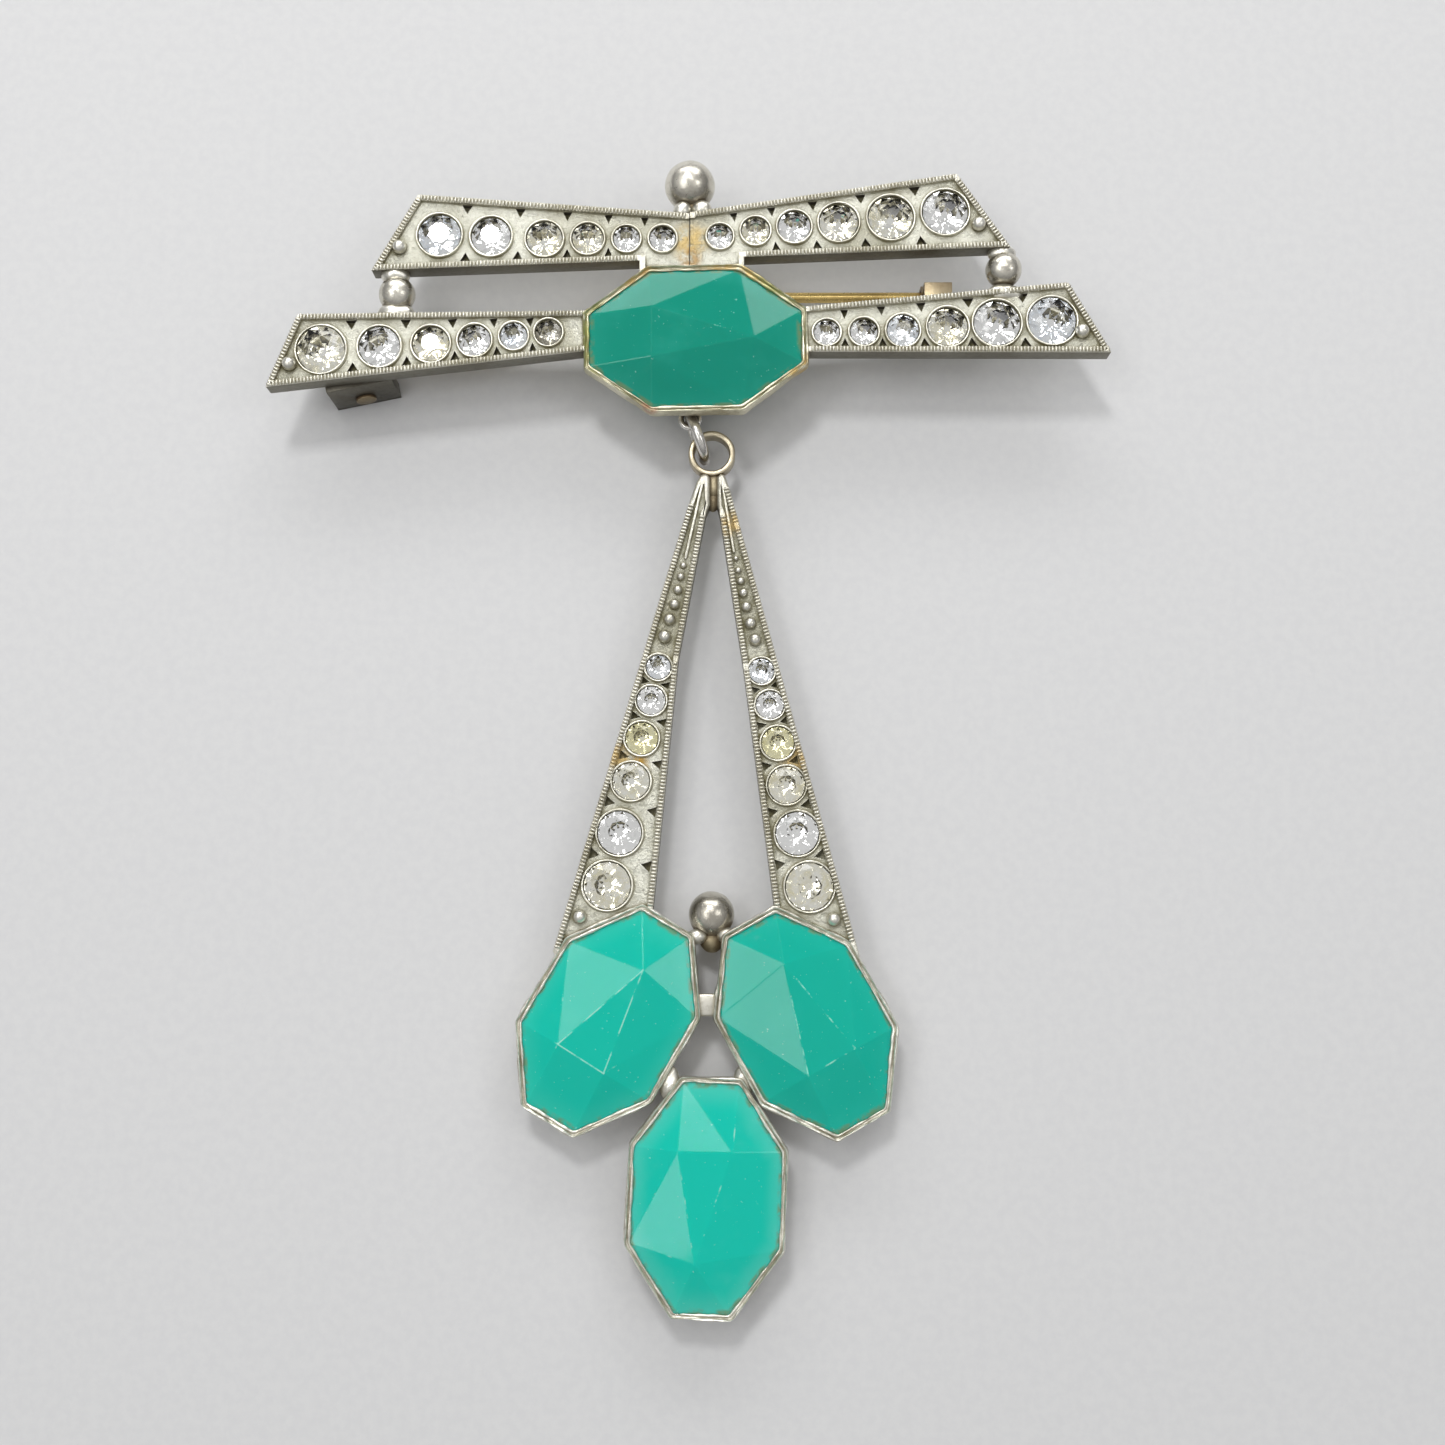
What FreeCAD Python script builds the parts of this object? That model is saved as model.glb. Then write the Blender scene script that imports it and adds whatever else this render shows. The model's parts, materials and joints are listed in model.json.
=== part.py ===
"""Art Deco drop brooch: a paste-set bar with a pin fitting, and a drop that hangs from it on a jump ring.

Millimetres. The brooch lies on its back: +X is to the viewer's right, +Y points from the drop to the
finial ball, and +Z comes out of the face. Z = 0 is the surface that it lies on, and the origin is the
middle of the whole brooch on that surface.
"""
import FreeCAD, Part
import math
import os

V = FreeCAD.Vector
UP = V(0, 0, 1)

# Octagon glass stones: plan, girdle, crown above it and back below it
STONE_LENGTH = 16.8
STONE_WIDTH = 11.2
STONE_END_EDGE = 4.2
STONE_SIDE_EDGE = 7.05
STONE_GIRDLE = 0.9
STONE_CROWN = 1.25
STONE_BACK = 0.6
STONE_BACK_INSET = 0.5
STONE_SINK = 0.3

# The stone's triangular table: its corners as shares of the half width and half length
TABLE_CORNERS = [(0.12, 0.55), (0.40, -0.40), (-0.32, -0.41)]

# Octagon settings: a bezel round the stone, a seat under it and walls that narrow to an open back
BEZEL_WALL = 0.35
STONE_CLEARANCE = 0.03
BEZEL_LIP = 0.16
BEZEL_LIP_THICKNESS = 0.16
SEAT_WIDTH = 0.6
SETTING_DEPTH = 3.6
SETTING_BACK_INSET = 1.5
SETTING_BACK_WALL = 0.9

# Cast arms: depth, raised edge, sunk floor, and collets for the round pastes
ARM_DEPTH = 1.7
ARM_EDGE = 0.34
ARM_FLOOR_SINK = 0.45
COLLET_WALL = 0.24
COLLET_SINK = 0.06

# Round pastes: heights as shares of the diameter, and their fit in the collets
PASTE_CLEARANCE = 0.02
PASTE_TABLE_SHARE = 0.55
PASTE_CROWN_SHARE = 0.16
PASTE_PAVILION_SHARE = 0.28
PASTE_GIRDLE = 0.12
PASTE_SINK = 0.3
PASTE_CULET_RADIUS = 0.08

# The bar lies on its pin fitting, with the back of its setting clear of the pin
BAR_LIFT = 2.4
CENTRE_AT = (0.5, 29.68)
CENTRE_TURN = -88.8

# Arms of the bar. Upper arms: x outwards from the seam, y up from the top of the octagon.
# Lower arms: x outwards from the end of the octagon, y up from its middle.
UPPER_LEFT_OUTLINE = [(0, -1), (3.9, -1), (3.9, 0.3), (24.9, -0.5), (21.4, 5.75), (0, 4.2)]
UPPER_RIGHT_OUTLINE = [(0, -1), (4.3, -1), (4.3, 0.6), (25.2, 1.45), (21.1, 7.5), (0, 4.3)]
LOWER_LEFT_OUTLINE = [(-1, -1), (24.6, -4.0), (22.3, 1.9), (-1, 2.2)]
LOWER_RIGHT_OUTLINE = [(-1, -1.15), (23.6, -1.2), (20.4, 4.5), (-1, 2.45)]

# Collets of the bar: x, y and outer diameter, from the outer end to the inner end of each arm
UPPER_LEFT_COLLETS = [
    (19.65, 2.45, 3.7), (15.6, 2.35, 3.45), (11.4, 2.15, 3.15),
    (8.0, 2.15, 2.8), (4.95, 2.15, 2.4), (2.1, 2.15, 2.4)]
UPPER_RIGHT_COLLETS = [
    (20.15, 4.35, 3.95), (15.85, 3.9, 3.9), (11.75, 3.5, 3.4),
    (8.25, 3.15, 2.9), (5.2, 2.8, 2.55), (2.4, 2.35, 2.3)]
LOWER_LEFT_COLLETS = [
    (20.4, -0.95, 4.1), (15.85, -0.7, 3.55), (11.85, -0.5, 3.2),
    (8.45, -0.2, 2.85), (5.4, 0.15, 2.45), (2.7, 0.45, 2.4)]
LOWER_RIGHT_COLLETS = [
    (19.05, 1.4, 4.1), (14.75, 1.2, 4.0), (10.9, 0.9, 3.45),
    (7.4, 0.6, 2.85), (4.35, 0.5, 2.5), (1.45, 0.45, 2.35)]
TIP_BEAD_DIAMETER = 1.1
UPPER_LEFT_BEADS = [(22.75, 1.4, TIP_BEAD_DIAMETER)]
UPPER_RIGHT_BEADS = [(22.75, 3.3, TIP_BEAD_DIAMETER)]
LOWER_LEFT_BEADS = [(22.8, -2.15, TIP_BEAD_DIAMETER)]
LOWER_RIGHT_BEADS = [(21.35, 0.5, TIP_BEAD_DIAMETER)]

# Balls of the bar, soldered on with short stubs
FINIAL_BALL_DIAMETER = 4.0
FINIAL_BALL_GAP = 0.8
FINIAL_BALL_SINK = 1.2
FINIAL_STUB_DIAMETER = 1.7
LINK_BALL_DIAMETER = 2.9
LINK_BALL_SINK = 0.9
LINK_STUB_DIAMETER = 1.6
LINK_BALL_SHIFT = 0.4
LEFT_LINK_X = -23.0
RIGHT_LINK_X = 24.75

# Pin fitting behind the bar: hinge block, rivet, pin stem and catch
PIN_DIAMETER = 0.84
PIN_Z = 1.5
PIN_RUN_Y = 34.7
PIN_BEND_X = 4.0
PIN_BEND_RADIUS = 30.0
PIN_TIP_X = 23.0
PIN_POINT_LENGTH = 4.6
PIN_POINT_DIAMETER = 0.16
HINGE_AT = (-26.4, 28.3)
HINGE_BLOCK_LENGTH = 5.2
HINGE_EAR = 1.2
HINGE_GAP = 1.7
HINGE_ROOF = 0.8
RIVET_DIAMETER = 0.9
RIVET_PRESS_CLEARANCE = 0.01
RIVET_RUNNING_CLEARANCE = 0.05
RIVET_HEAD_DIAMETER = 1.6
RIVET_HEAD = 0.25
EYE_DIAMETER = 2.3
EYE_SIDE_CLEARANCE = 0.06
CATCH_X = 19.7
CATCH_WIDTH = 2.2
CATCH_THICKNESS = 0.35
CATCH_CLEARANCE = 0.12
CATCH_MOUTH_SHARE = 0.5
CATCH_BASE_REACH = 4.0

# Jump ring, the hanger loop behind the rim that it runs through, and where its centre lies
RING_WIRE = 0.84
RING_RADIUS = 1.75
RING_X = 0.62
RING_DROP = 1.15
RING_TURN = 20.0
HANGER_RISE = 0.15
LOOP_WIRE = 0.48
LOOP_CLEARANCE = 0.06
LOOP_SHANK = 0.9

# The drop: everything below is measured from the middle of its ring
DROP_RING_X = 1.75
DROP_RING_DROP = 2.5
DROP_RING_DIAMETER = 3.7
DROP_RING_HOLE = 2.75
DROP_RING_DEPTH = 1.3
DROP_LEFT_OUTLINE = [
    (0, -1.0), (-0.8, -2.2), (-1.7, -4.0), (-11.95, -38.9), (-11.0, -40.5), (-4.6, -37.6), (-2.55, -16.45),
    (-0.35, -5.0), (0, -4.3)]
DROP_RIGHT_OUTLINE = [
    (0, -1.0), (0, -4.3), (0.55, -5.0), (2.45, -17.15), (4.9, -36.6), (10.6, -40.3), (11.2, -39.3),
    (2.15, -5.8), (0.85, -2.2)]
DROP_LEFT_COLLETS = [
    (-4.1, -17.15, 2.25), (-4.65, -19.75, 2.55), (-5.35, -22.7, 2.85),
    (-6.15, -26.0, 3.2), (-7.0, -29.95, 3.7), (-7.9, -33.95, 3.95)]
DROP_RIGHT_COLLETS = [
    (3.85, -17.45, 2.3), (4.5, -20.1, 2.5), (5.1, -23.05, 2.85),
    (5.75, -26.3, 3.2), (6.55, -30.0, 3.65), (7.45, -34.05, 4.0)]
DROP_LEFT_BEADS = [
    (-2.2, -9.1, 0.5), (-2.4, -10.0, 0.6), (-2.62, -11.05, 0.7), (-2.87, -12.2, 0.8),
    (-3.25, -13.4, 0.9), (-3.62, -14.75, 1.0), (-9.95, -36.3, 1.0)]
DROP_RIGHT_BEADS = [
    (1.9, -8.55, 0.4), (2.08, -9.5, 0.5), (2.27, -10.35, 0.6), (2.47, -11.3, 0.7),
    (2.7, -12.4, 0.8), (3.0, -13.7, 0.9), (3.37, -15.0, 0.95), (9.25, -36.5, 1.0)]
DROP_BALL_DIAMETER = 3.55
DROP_BALL_AT = (0.0, -36.1)
DROP_BALL_SINK = 1.5
DROP_STUB_DIAMETER = 2.0
DROP_STUB_REACH = 3.0

# The drop's settings meet round one point. Side settings: gap from it to the long side, and how far
# their upper end lies past it. Bottom setting: gap from it to its upper end.
MEETING_AT = (-0.35, -46.4)
SIDE_SETTING_GAP = 1.6
SIDE_SETTING_REACH = 7.05
BOTTOM_SETTING_GAP = 1.8
DROP_LEFT_TURN = -30.8
DROP_RIGHT_TURN = 29.2
DROP_BOTTOM_TURN = 177.5
BRIDGE_WIDTH = 1.7
BRIDGE_RISE = 3.5
BRIDGE_THICKNESS = 0.9
BRIDGE_SINK = 0.5
SOLDER_DIAMETER = 1.5
SOLDER_SPREAD = 2.4
SOLDER_HEIGHT = 1.2
SOLDER_SINK = 0.35

# What follows from the sizes above
SETTING_LENGTH = STONE_LENGTH + 2 * (STONE_CLEARANCE + BEZEL_WALL)
SETTING_WIDTH = STONE_WIDTH + 2 * (STONE_CLEARANCE + BEZEL_WALL)
BAR_FACE_Z = BAR_LIFT + SETTING_DEPTH
DROP_FACE_Z = SETTING_DEPTH
BAR_BACK_Z = BAR_FACE_Z - ARM_DEPTH
CENTRE_TOP_Y = CENTRE_AT[1] + SETTING_WIDTH / 2
CENTRE_FOOT_Y = CENTRE_AT[1] - SETTING_WIDTH / 2
HANG_Z = BAR_LIFT + HANGER_RISE
LOOP_RADIUS = RING_WIRE / 2 + LOOP_WIRE / 2 + LOOP_CLEARANCE
RING_Y = CENTRE_FOOT_Y - RING_DROP
DROP_RING_Y = CENTRE_FOOT_Y - DROP_RING_DROP
MARGIN = 2.0


def prism(points, low, high):
    """Straight prism on a closed outline, from one height to another."""
    corners = [V(x, y, low) for x, y in points]
    wire = Part.makePolygon(corners + corners[:1])
    return Part.Face(wire).extrude(V(0, 0, high - low))


def cylinder(radius, x, y, low, high):
    """Upright cylinder between two heights."""
    return Part.makeCylinder(radius, high - low, V(x, y, low), UP)


def octagon(inset):
    """Corners of the stone's plan, moved inwards by inset, clockwise from the upper end."""
    half_width = STONE_WIDTH / 2
    half_length = STONE_LENGTH / 2
    half_end = STONE_END_EDGE / 2
    half_side = STONE_SIDE_EDGE / 2
    slope = math.atan2(half_length - half_side, half_width - half_end)
    end = half_end - inset * math.tan(slope / 2)
    side = half_side - inset * math.tan((math.pi / 2 - slope) / 2)
    wide = half_width - inset
    long = half_length - inset
    return [
        (-end, long), (end, long), (wide, side), (wide, -side),
        (end, -long), (-end, -long), (-wide, -side), (-wide, side)]


def loft(low_points, low, high_points, high):
    """Solid between two outlines of as many corners at two heights."""
    wires = []
    for points, height in ((low_points, low), (high_points, high)):
        corners = [V(x, y, height) for x, y in points]
        wires.append(Part.makePolygon(corners + corners[:1]))
    return Part.makeLoft(wires, True, True)


def place(shape, at, turn, mirrored):
    """Put a shape made round the origin at its place in the brooch."""
    placed = shape.mirror(V(0, 0, 0), V(1, 0, 0)) if mirrored else shape.copy()
    placed.rotate(V(0, 0, 0), UP, turn)
    placed.translate(V(at[0], at[1], 0))
    return placed


def octagon_stone(face):
    """Glass octagon: flat back, girdle, and a crown of triangles up to a triangular table."""
    girdle_top = face - STONE_SINK
    girdle_foot = girdle_top - STONE_GIRDLE
    back = girdle_foot - STONE_BACK
    rim = octagon(0)
    foot = octagon(STONE_BACK_INSET)
    upper = [V(x, y, girdle_top) for x, y in rim]
    lower = [V(x, y, girdle_foot) for x, y in rim]
    base = [V(x, y, back) for x, y in foot]
    table_z = girdle_top + STONE_CROWN
    t, v, u = [V(x * STONE_WIDTH / 2, y * STONE_LENGTH / 2, table_z) for x, y in TABLE_CORNERS]
    facets = [(t, v, u), (t, upper[2], v), (v, upper[4], u), (u, upper[7], t)]
    owners = [t, t, v, v, u, u, u, t]
    for index, owner in enumerate(owners):
        following = (index + 1) % 8
        facets.append((owner, upper[index], upper[following]))
        facets.append((upper[index], lower[index], lower[following], upper[following]))
        facets.append((lower[index], base[index], base[following], lower[following]))
    facets.append(tuple(base))
    faces = [Part.Face(Part.makePolygon(list(facet) + [facet[0]])) for facet in facets]
    solid = Part.makeSolid(Part.makeShell(faces))
    solid.fix(1e-6, 1e-6, 1e-6)
    return solid


def octagon_setting(face):
    """Bezel, seat and narrowing walls with an open back, round the origin."""
    back = face - SETTING_DEPTH
    rim = -STONE_CLEARANCE - BEZEL_WALL
    outer = octagon(rim)
    girdle_foot = face - STONE_SINK - STONE_GIRDLE
    seat_z = girdle_foot - STONE_BACK
    lip_z = face - BEZEL_LIP_THICKNESS
    pocket = octagon(-STONE_CLEARANCE)
    seat = octagon(STONE_BACK_INSET - STONE_CLEARANCE)
    body = prism(outer, girdle_foot, face)
    body = body.fuse(loft(octagon(rim + SETTING_BACK_INSET), back, outer, girdle_foot))
    body = body.cut(prism(pocket, girdle_foot, lip_z))
    body = body.cut(prism(octagon(BEZEL_LIP), girdle_foot, face + MARGIN))
    body = body.cut(loft(seat, seat_z, pocket, girdle_foot))
    opening = octagon(rim + SETTING_BACK_INSET + SETTING_BACK_WALL)
    body = body.cut(loft(opening, back, octagon(STONE_BACK_INSET + SEAT_WIDTH), seat_z))
    return body.removeSplitter()


def setting_envelope():
    """Upright prism on the setting's outer plan, for whatever butts against its bezel."""
    return prism(octagon(-STONE_CLEARANCE - BEZEL_WALL), -MARGIN, BAR_FACE_Z + MARGIN)


def revolve(profile, x, y):
    """Solid of revolution of a radius-and-height profile about an upright axis."""
    corners = [V(radius, 0, height) for radius, height in profile]
    shape = Part.Face(Part.makePolygon(corners + corners[:1])).revolve(V(0, 0, 0), UP, 360)
    shape.translate(V(x, y, 0))
    return shape


def paste_heights(diameter, face):
    """Heights of a round paste: table, top of the girdle, foot of the girdle and culet."""
    girdle_top = face - PASTE_SINK
    girdle_foot = girdle_top - PASTE_GIRDLE
    table = girdle_top + PASTE_CROWN_SHARE * diameter
    culet = girdle_foot - PASTE_PAVILION_SHARE * diameter
    return table, girdle_top, girdle_foot, culet


def paste(x, y, collet_diameter, face):
    """Round paste that fills its collet."""
    diameter = collet_diameter - 2 * (COLLET_WALL + PASTE_CLEARANCE)
    radius = diameter / 2
    table, girdle_top, girdle_foot, culet = paste_heights(diameter, face)
    return revolve([
        (0, culet), (PASTE_CULET_RADIUS, culet), (radius, girdle_foot),
        (radius, girdle_top), (radius * PASTE_TABLE_SHARE, table), (0, table)], x, y)


def paste_seat(x, y, collet_diameter, face):
    """What is bored out of a collet for its paste."""
    diameter = collet_diameter - 2 * (COLLET_WALL + PASTE_CLEARANCE)
    radius = diameter / 2 + PASTE_CLEARANCE
    girdle_foot, culet = paste_heights(diameter, face)[2:]
    return revolve([
        (0, culet - PASTE_CLEARANCE), (PASTE_CULET_RADIUS + PASTE_CLEARANCE, culet - PASTE_CLEARANCE),
        (radius, girdle_foot - PASTE_CLEARANCE), (radius, face + MARGIN), (0, face + MARGIN)], x, y)


def arm(outline, collets, beads, face):
    """Cast arm: raised edge, sunk floor, a collet for each paste and round beads."""
    floor = face - ARM_FLOOR_SINK
    body = prism(outline, face - ARM_DEPTH, face)
    edge = Part.makePolygon([V(x, y, floor) for x, y in outline + outline[:1]])
    inner = edge.makeOffset2D(-ARM_EDGE, 2)
    body = body.cut(Part.Face(inner).extrude(V(0, 0, ARM_FLOOR_SINK + MARGIN)))
    inside = prism(outline, floor, face)
    for x, y, diameter in collets:
        body = body.fuse(cylinder(diameter / 2, x, y, floor, face - COLLET_SINK).common(inside))
    for x, y, diameter in beads:
        body = body.fuse(Part.makeSphere(diameter / 2, V(x, y, floor + diameter / 4)))
    for x, y, diameter in collets:
        body = body.cut(paste_seat(x, y, diameter, face))
    return body.removeSplitter()


def moved(points, x, y, outward):
    """Points of an arm at its place; outward is 1 on the right and -1 on the left."""
    return [(x + outward * point[0], y + point[1]) + tuple(point[2:]) for point in points]


def edge_height(start, end, x):
    """Height in plan of a straight edge at a given x."""
    return start[1] + (end[1] - start[1]) * (x - start[0]) / (end[0] - start[0])


def ball(diameter, x, y, z, stub_diameter, low_y, high_y):
    """Ball with a solder stub along Y through its middle."""
    sphere = Part.makeSphere(diameter / 2, V(x, y, z))
    stub = Part.makeCylinder(stub_diameter / 2, high_y - low_y, V(x, low_y, z), V(0, 1, 0))
    return sphere.fuse(stub)


def side_setting_at(side_turn, outward):
    """Middle of a side setting of the drop: its long side faces the meeting point."""
    turn = math.radians(side_turn)
    along = (-math.sin(turn), math.cos(turn))
    across = (math.cos(turn), math.sin(turn))
    out = outward * (SETTING_WIDTH / 2 + SIDE_SETTING_GAP)
    back = SIDE_SETTING_REACH - SETTING_LENGTH / 2
    x = MEETING_AT[0] + across[0] * out + along[0] * back
    y = MEETING_AT[1] + across[1] * out + along[1] * back
    return x, y


# The hinge, its axis and the stem's first run lie along one line in plan
pin_turn = math.atan2(PIN_RUN_Y - HINGE_AT[1], PIN_BEND_X - HINGE_AT[0])
pin_along = V(math.cos(pin_turn), math.sin(pin_turn), 0)
pin_across = V(-math.sin(pin_turn), math.cos(pin_turn), 0)
hinge_centre = V(HINGE_AT[0], HINGE_AT[1], PIN_Z)
hinge_width = HINGE_GAP + 2 * HINGE_EAR


def hinge_box(along_low, along_high, across_half, low, high):
    """Box in line with the stem, centred across it."""
    box = Part.makeBox(along_high - along_low, 2 * across_half, high - low, V(along_low, -across_half, low))
    box.rotate(V(0, 0, 0), UP, math.degrees(pin_turn))
    box.translate(V(HINGE_AT[0], HINGE_AT[1], 0))
    return box


def across_cylinder(diameter, half_width):
    """Cylinder along the hinge axis, centred on the stem."""
    start = hinge_centre - pin_across * half_width
    return Part.makeCylinder(diameter / 2, 2 * half_width, start, pin_across)


def hinge_block():
    """Roof soldered under the arm, and two ears that carry the rivet."""
    half = HINGE_BLOCK_LENGTH / 2
    block = hinge_box(-half, half, hinge_width / 2, 0, BAR_BACK_Z)
    roof_z = BAR_BACK_Z - HINGE_ROOF
    block = block.cut(hinge_box(-half - MARGIN, half + MARGIN, HINGE_GAP / 2, -MARGIN, roof_z))
    return block.cut(across_cylinder(RIVET_DIAMETER + 2 * RIVET_PRESS_CLEARANCE, hinge_width))


def hinge_rivet():
    """Rivet with a head on each side of the block."""
    rivet = across_cylinder(RIVET_DIAMETER, hinge_width / 2)
    heads = across_cylinder(RIVET_HEAD_DIAMETER, hinge_width / 2 + RIVET_HEAD)
    heads = heads.cut(across_cylinder(RIVET_HEAD_DIAMETER + MARGIN, hinge_width / 2))
    return rivet.fuse(heads).removeSplitter()


def pin_stem():
    """Eye on the rivet, a straight run, a gentle bend, a second run and the point."""
    eye = across_cylinder(EYE_DIAMETER, HINGE_GAP / 2 - EYE_SIDE_CLEARANCE)
    bend = V(PIN_BEND_X, PIN_RUN_Y, PIN_Z)
    trim = PIN_BEND_RADIUS * math.tan(pin_turn / 2)
    start = hinge_centre + pin_along * (RIVET_DIAMETER / 2 + RIVET_RUNNING_CLEARANCE)
    bend_start = bend - pin_along * trim
    bend_end = bend + V(trim, 0, 0)
    bend_centre = bend_end - V(0, PIN_BEND_RADIUS, 0)
    middle_turn = math.pi / 2 + pin_turn / 2
    bend_middle = bend_centre + V(math.cos(middle_turn), math.sin(middle_turn), 0) * PIN_BEND_RADIUS
    point_start = V(PIN_TIP_X - PIN_POINT_LENGTH, PIN_RUN_Y, PIN_Z)
    path = Part.Wire([
        Part.LineSegment(start, bend_start).toShape(),
        Part.Arc(bend_start, bend_middle, bend_end).toShape(),
        Part.LineSegment(bend_end, point_start).toShape()])
    section = Part.Wire(Part.makeCircle(PIN_DIAMETER / 2, start, pin_along))
    stem = path.makePipeShell([section], True, False)
    point = Part.makeCone(PIN_DIAMETER / 2, PIN_POINT_DIAMETER / 2, PIN_POINT_LENGTH, point_start, V(1, 0, 0))
    body = eye.fuse(stem).fuse(point)
    bore = across_cylinder(RIVET_DIAMETER + 2 * RIVET_RUNNING_CLEARANCE, hinge_width)
    return body.cut(bore).removeSplitter()


def catch():
    """Strip soldered under the arm, ending in a hook whose mouth faces away from the back."""
    start_x = CATCH_X - CATCH_WIDTH / 2
    inner = PIN_DIAMETER / 2 + CATCH_CLEARANCE
    outer = inner + CATCH_THICKNESS
    centre = V(start_x, PIN_RUN_Y, PIN_Z)
    hook = Part.makeCylinder(outer, CATCH_WIDTH, centre, V(1, 0, 0))
    leg = Part.makeBox(CATCH_WIDTH, CATCH_THICKNESS, PIN_Z, V(start_x, PIN_RUN_Y + inner, 0))
    neck_height = BAR_BACK_Z - PIN_Z
    neck_y = PIN_RUN_Y - CATCH_THICKNESS / 2
    neck = Part.makeBox(CATCH_WIDTH, CATCH_THICKNESS, neck_height, V(start_x, neck_y, PIN_Z))
    base_y = PIN_RUN_Y + CATCH_THICKNESS / 2 - CATCH_BASE_REACH
    base_z = BAR_BACK_Z - CATCH_THICKNESS
    base = Part.makeBox(CATCH_WIDTH, CATCH_BASE_REACH, CATCH_THICKNESS, V(start_x, base_y, base_z))
    body = hook.fuse(leg).fuse(neck).fuse(base)
    body = body.cut(Part.makeCylinder(inner, CATCH_WIDTH, centre, V(1, 0, 0)))
    mouth = Part.makeBox(CATCH_WIDTH, 2 * outer, 2 * outer, V(start_x, PIN_RUN_Y + inner - 2 * outer, -outer))
    mouth.translate(V(0, 0, PIN_Z - outer - CATCH_MOUTH_SHARE * inner))
    return body.cut(mouth).removeSplitter()


ring_turn = math.radians(RING_TURN)
ring_along = V(-math.sin(ring_turn), math.cos(ring_turn), 0)
ring_centre = V(RING_X, RING_Y, HANG_Z)
loop_centre = ring_centre + ring_along * RING_RADIUS


def hanger_loop():
    """Small loop behind the rim of the bar's octagon, with a shank into its wall."""
    loop = Part.makeTorus(LOOP_RADIUS, LOOP_WIRE / 2, loop_centre, UP)
    shank_start = loop_centre + V(0, LOOP_RADIUS, 0)
    shank = Part.makeCylinder(LOOP_WIRE / 2, LOOP_SHANK, shank_start, V(0, 1, 0))
    return loop.fuse(shank)


def jump_ring():
    """Round-wire ring that joins the hanger loop and the drop's ring."""
    axis = V(math.cos(ring_turn), math.sin(ring_turn), 0)
    return Part.makeTorus(RING_RADIUS, RING_WIRE / 2, ring_centre, axis)


def drop_ring():
    """Short tube on top of the drop."""
    low = HANG_Z - DROP_RING_DEPTH / 2
    high = HANG_Z + DROP_RING_DEPTH / 2
    outer = cylinder(DROP_RING_DIAMETER / 2, DROP_RING_X, DROP_RING_Y, low, high)
    return outer.cut(cylinder(DROP_RING_HOLE / 2, DROP_RING_X, DROP_RING_Y, low, high))


parts = {}

# Bar: octagon with its hanger loop, four arms and their pastes
centre_envelope = place(setting_envelope(), CENTRE_AT, CENTRE_TURN, True)
centre_setting = place(octagon_setting(BAR_FACE_Z), CENTRE_AT, CENTRE_TURN, True)
parts["centre_setting"] = centre_setting.fuse(hanger_loop()).removeSplitter()
parts["centre_stone"] = place(octagon_stone(BAR_FACE_Z), CENTRE_AT, CENTRE_TURN, True)

left_end = CENTRE_AT[0] - SETTING_LENGTH / 2
right_end = CENTRE_AT[0] + SETTING_LENGTH / 2
BAR_ARMS = {
    "upper_left": (UPPER_LEFT_OUTLINE, UPPER_LEFT_COLLETS, UPPER_LEFT_BEADS, 0, CENTRE_TOP_Y, -1),
    "upper_right": (UPPER_RIGHT_OUTLINE, UPPER_RIGHT_COLLETS, UPPER_RIGHT_BEADS, 0, CENTRE_TOP_Y, 1),
    "lower_left": (LOWER_LEFT_OUTLINE, LOWER_LEFT_COLLETS, LOWER_LEFT_BEADS, left_end, CENTRE_AT[1], -1),
    "lower_right": (LOWER_RIGHT_OUTLINE, LOWER_RIGHT_COLLETS, LOWER_RIGHT_BEADS, right_end, CENTRE_AT[1], 1)}
arm_envelopes = {}
arm_corners = {}
for name, (outline, collets, beads, x, y, outward) in BAR_ARMS.items():
    corners = moved(outline, x, y, outward)
    places = moved(collets, x, y, outward)
    arm_corners[name] = corners
    arm_envelopes[name] = prism(corners, BAR_BACK_Z, BAR_FACE_Z)
    shape = arm(corners, places, moved(beads, x, y, outward), BAR_FACE_Z)
    parts[name + "_arm"] = shape.cut(centre_envelope)
    for number, (paste_x, paste_y, diameter) in enumerate(places, 1):
        parts[name + "_paste_" + str(number)] = paste(paste_x, paste_y, diameter, BAR_FACE_Z)

# Balls of the bar
finial_y = CENTRE_TOP_Y + UPPER_LEFT_OUTLINE[-1][1] + FINIAL_BALL_GAP + FINIAL_BALL_DIAMETER / 2
finial = ball(
    FINIAL_BALL_DIAMETER, 0, finial_y, BAR_FACE_Z - FINIAL_BALL_SINK,
    FINIAL_STUB_DIAMETER, CENTRE_TOP_Y + UPPER_LEFT_OUTLINE[-1][1] - ARM_EDGE, finial_y)
parts["finial_ball"] = finial.cut(arm_envelopes["upper_left"]).cut(arm_envelopes["upper_right"])
for side, x in (("left", LEFT_LINK_X), ("right", RIGHT_LINK_X)):
    upper = arm_corners["upper_" + side]
    lower = arm_corners["lower_" + side]
    upper_foot = edge_height(upper[2], upper[3], x)
    lower_head = edge_height(lower[2], lower[3], x)
    link = ball(
        LINK_BALL_DIAMETER, x, (upper_foot + lower_head) / 2 + LINK_BALL_SHIFT, BAR_FACE_Z - LINK_BALL_SINK,
        LINK_STUB_DIAMETER, lower_head - ARM_EDGE, upper_foot + ARM_EDGE)
    link = link.cut(arm_envelopes["upper_" + side]).cut(arm_envelopes["lower_" + side])
    parts[side + "_link_ball"] = link

# Pin fitting
parts["hinge_block"] = hinge_block()
parts["hinge_rivet"] = hinge_rivet()
parts["pin_stem"] = pin_stem()
parts["catch"] = catch()
parts["jump_ring"] = jump_ring()

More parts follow.
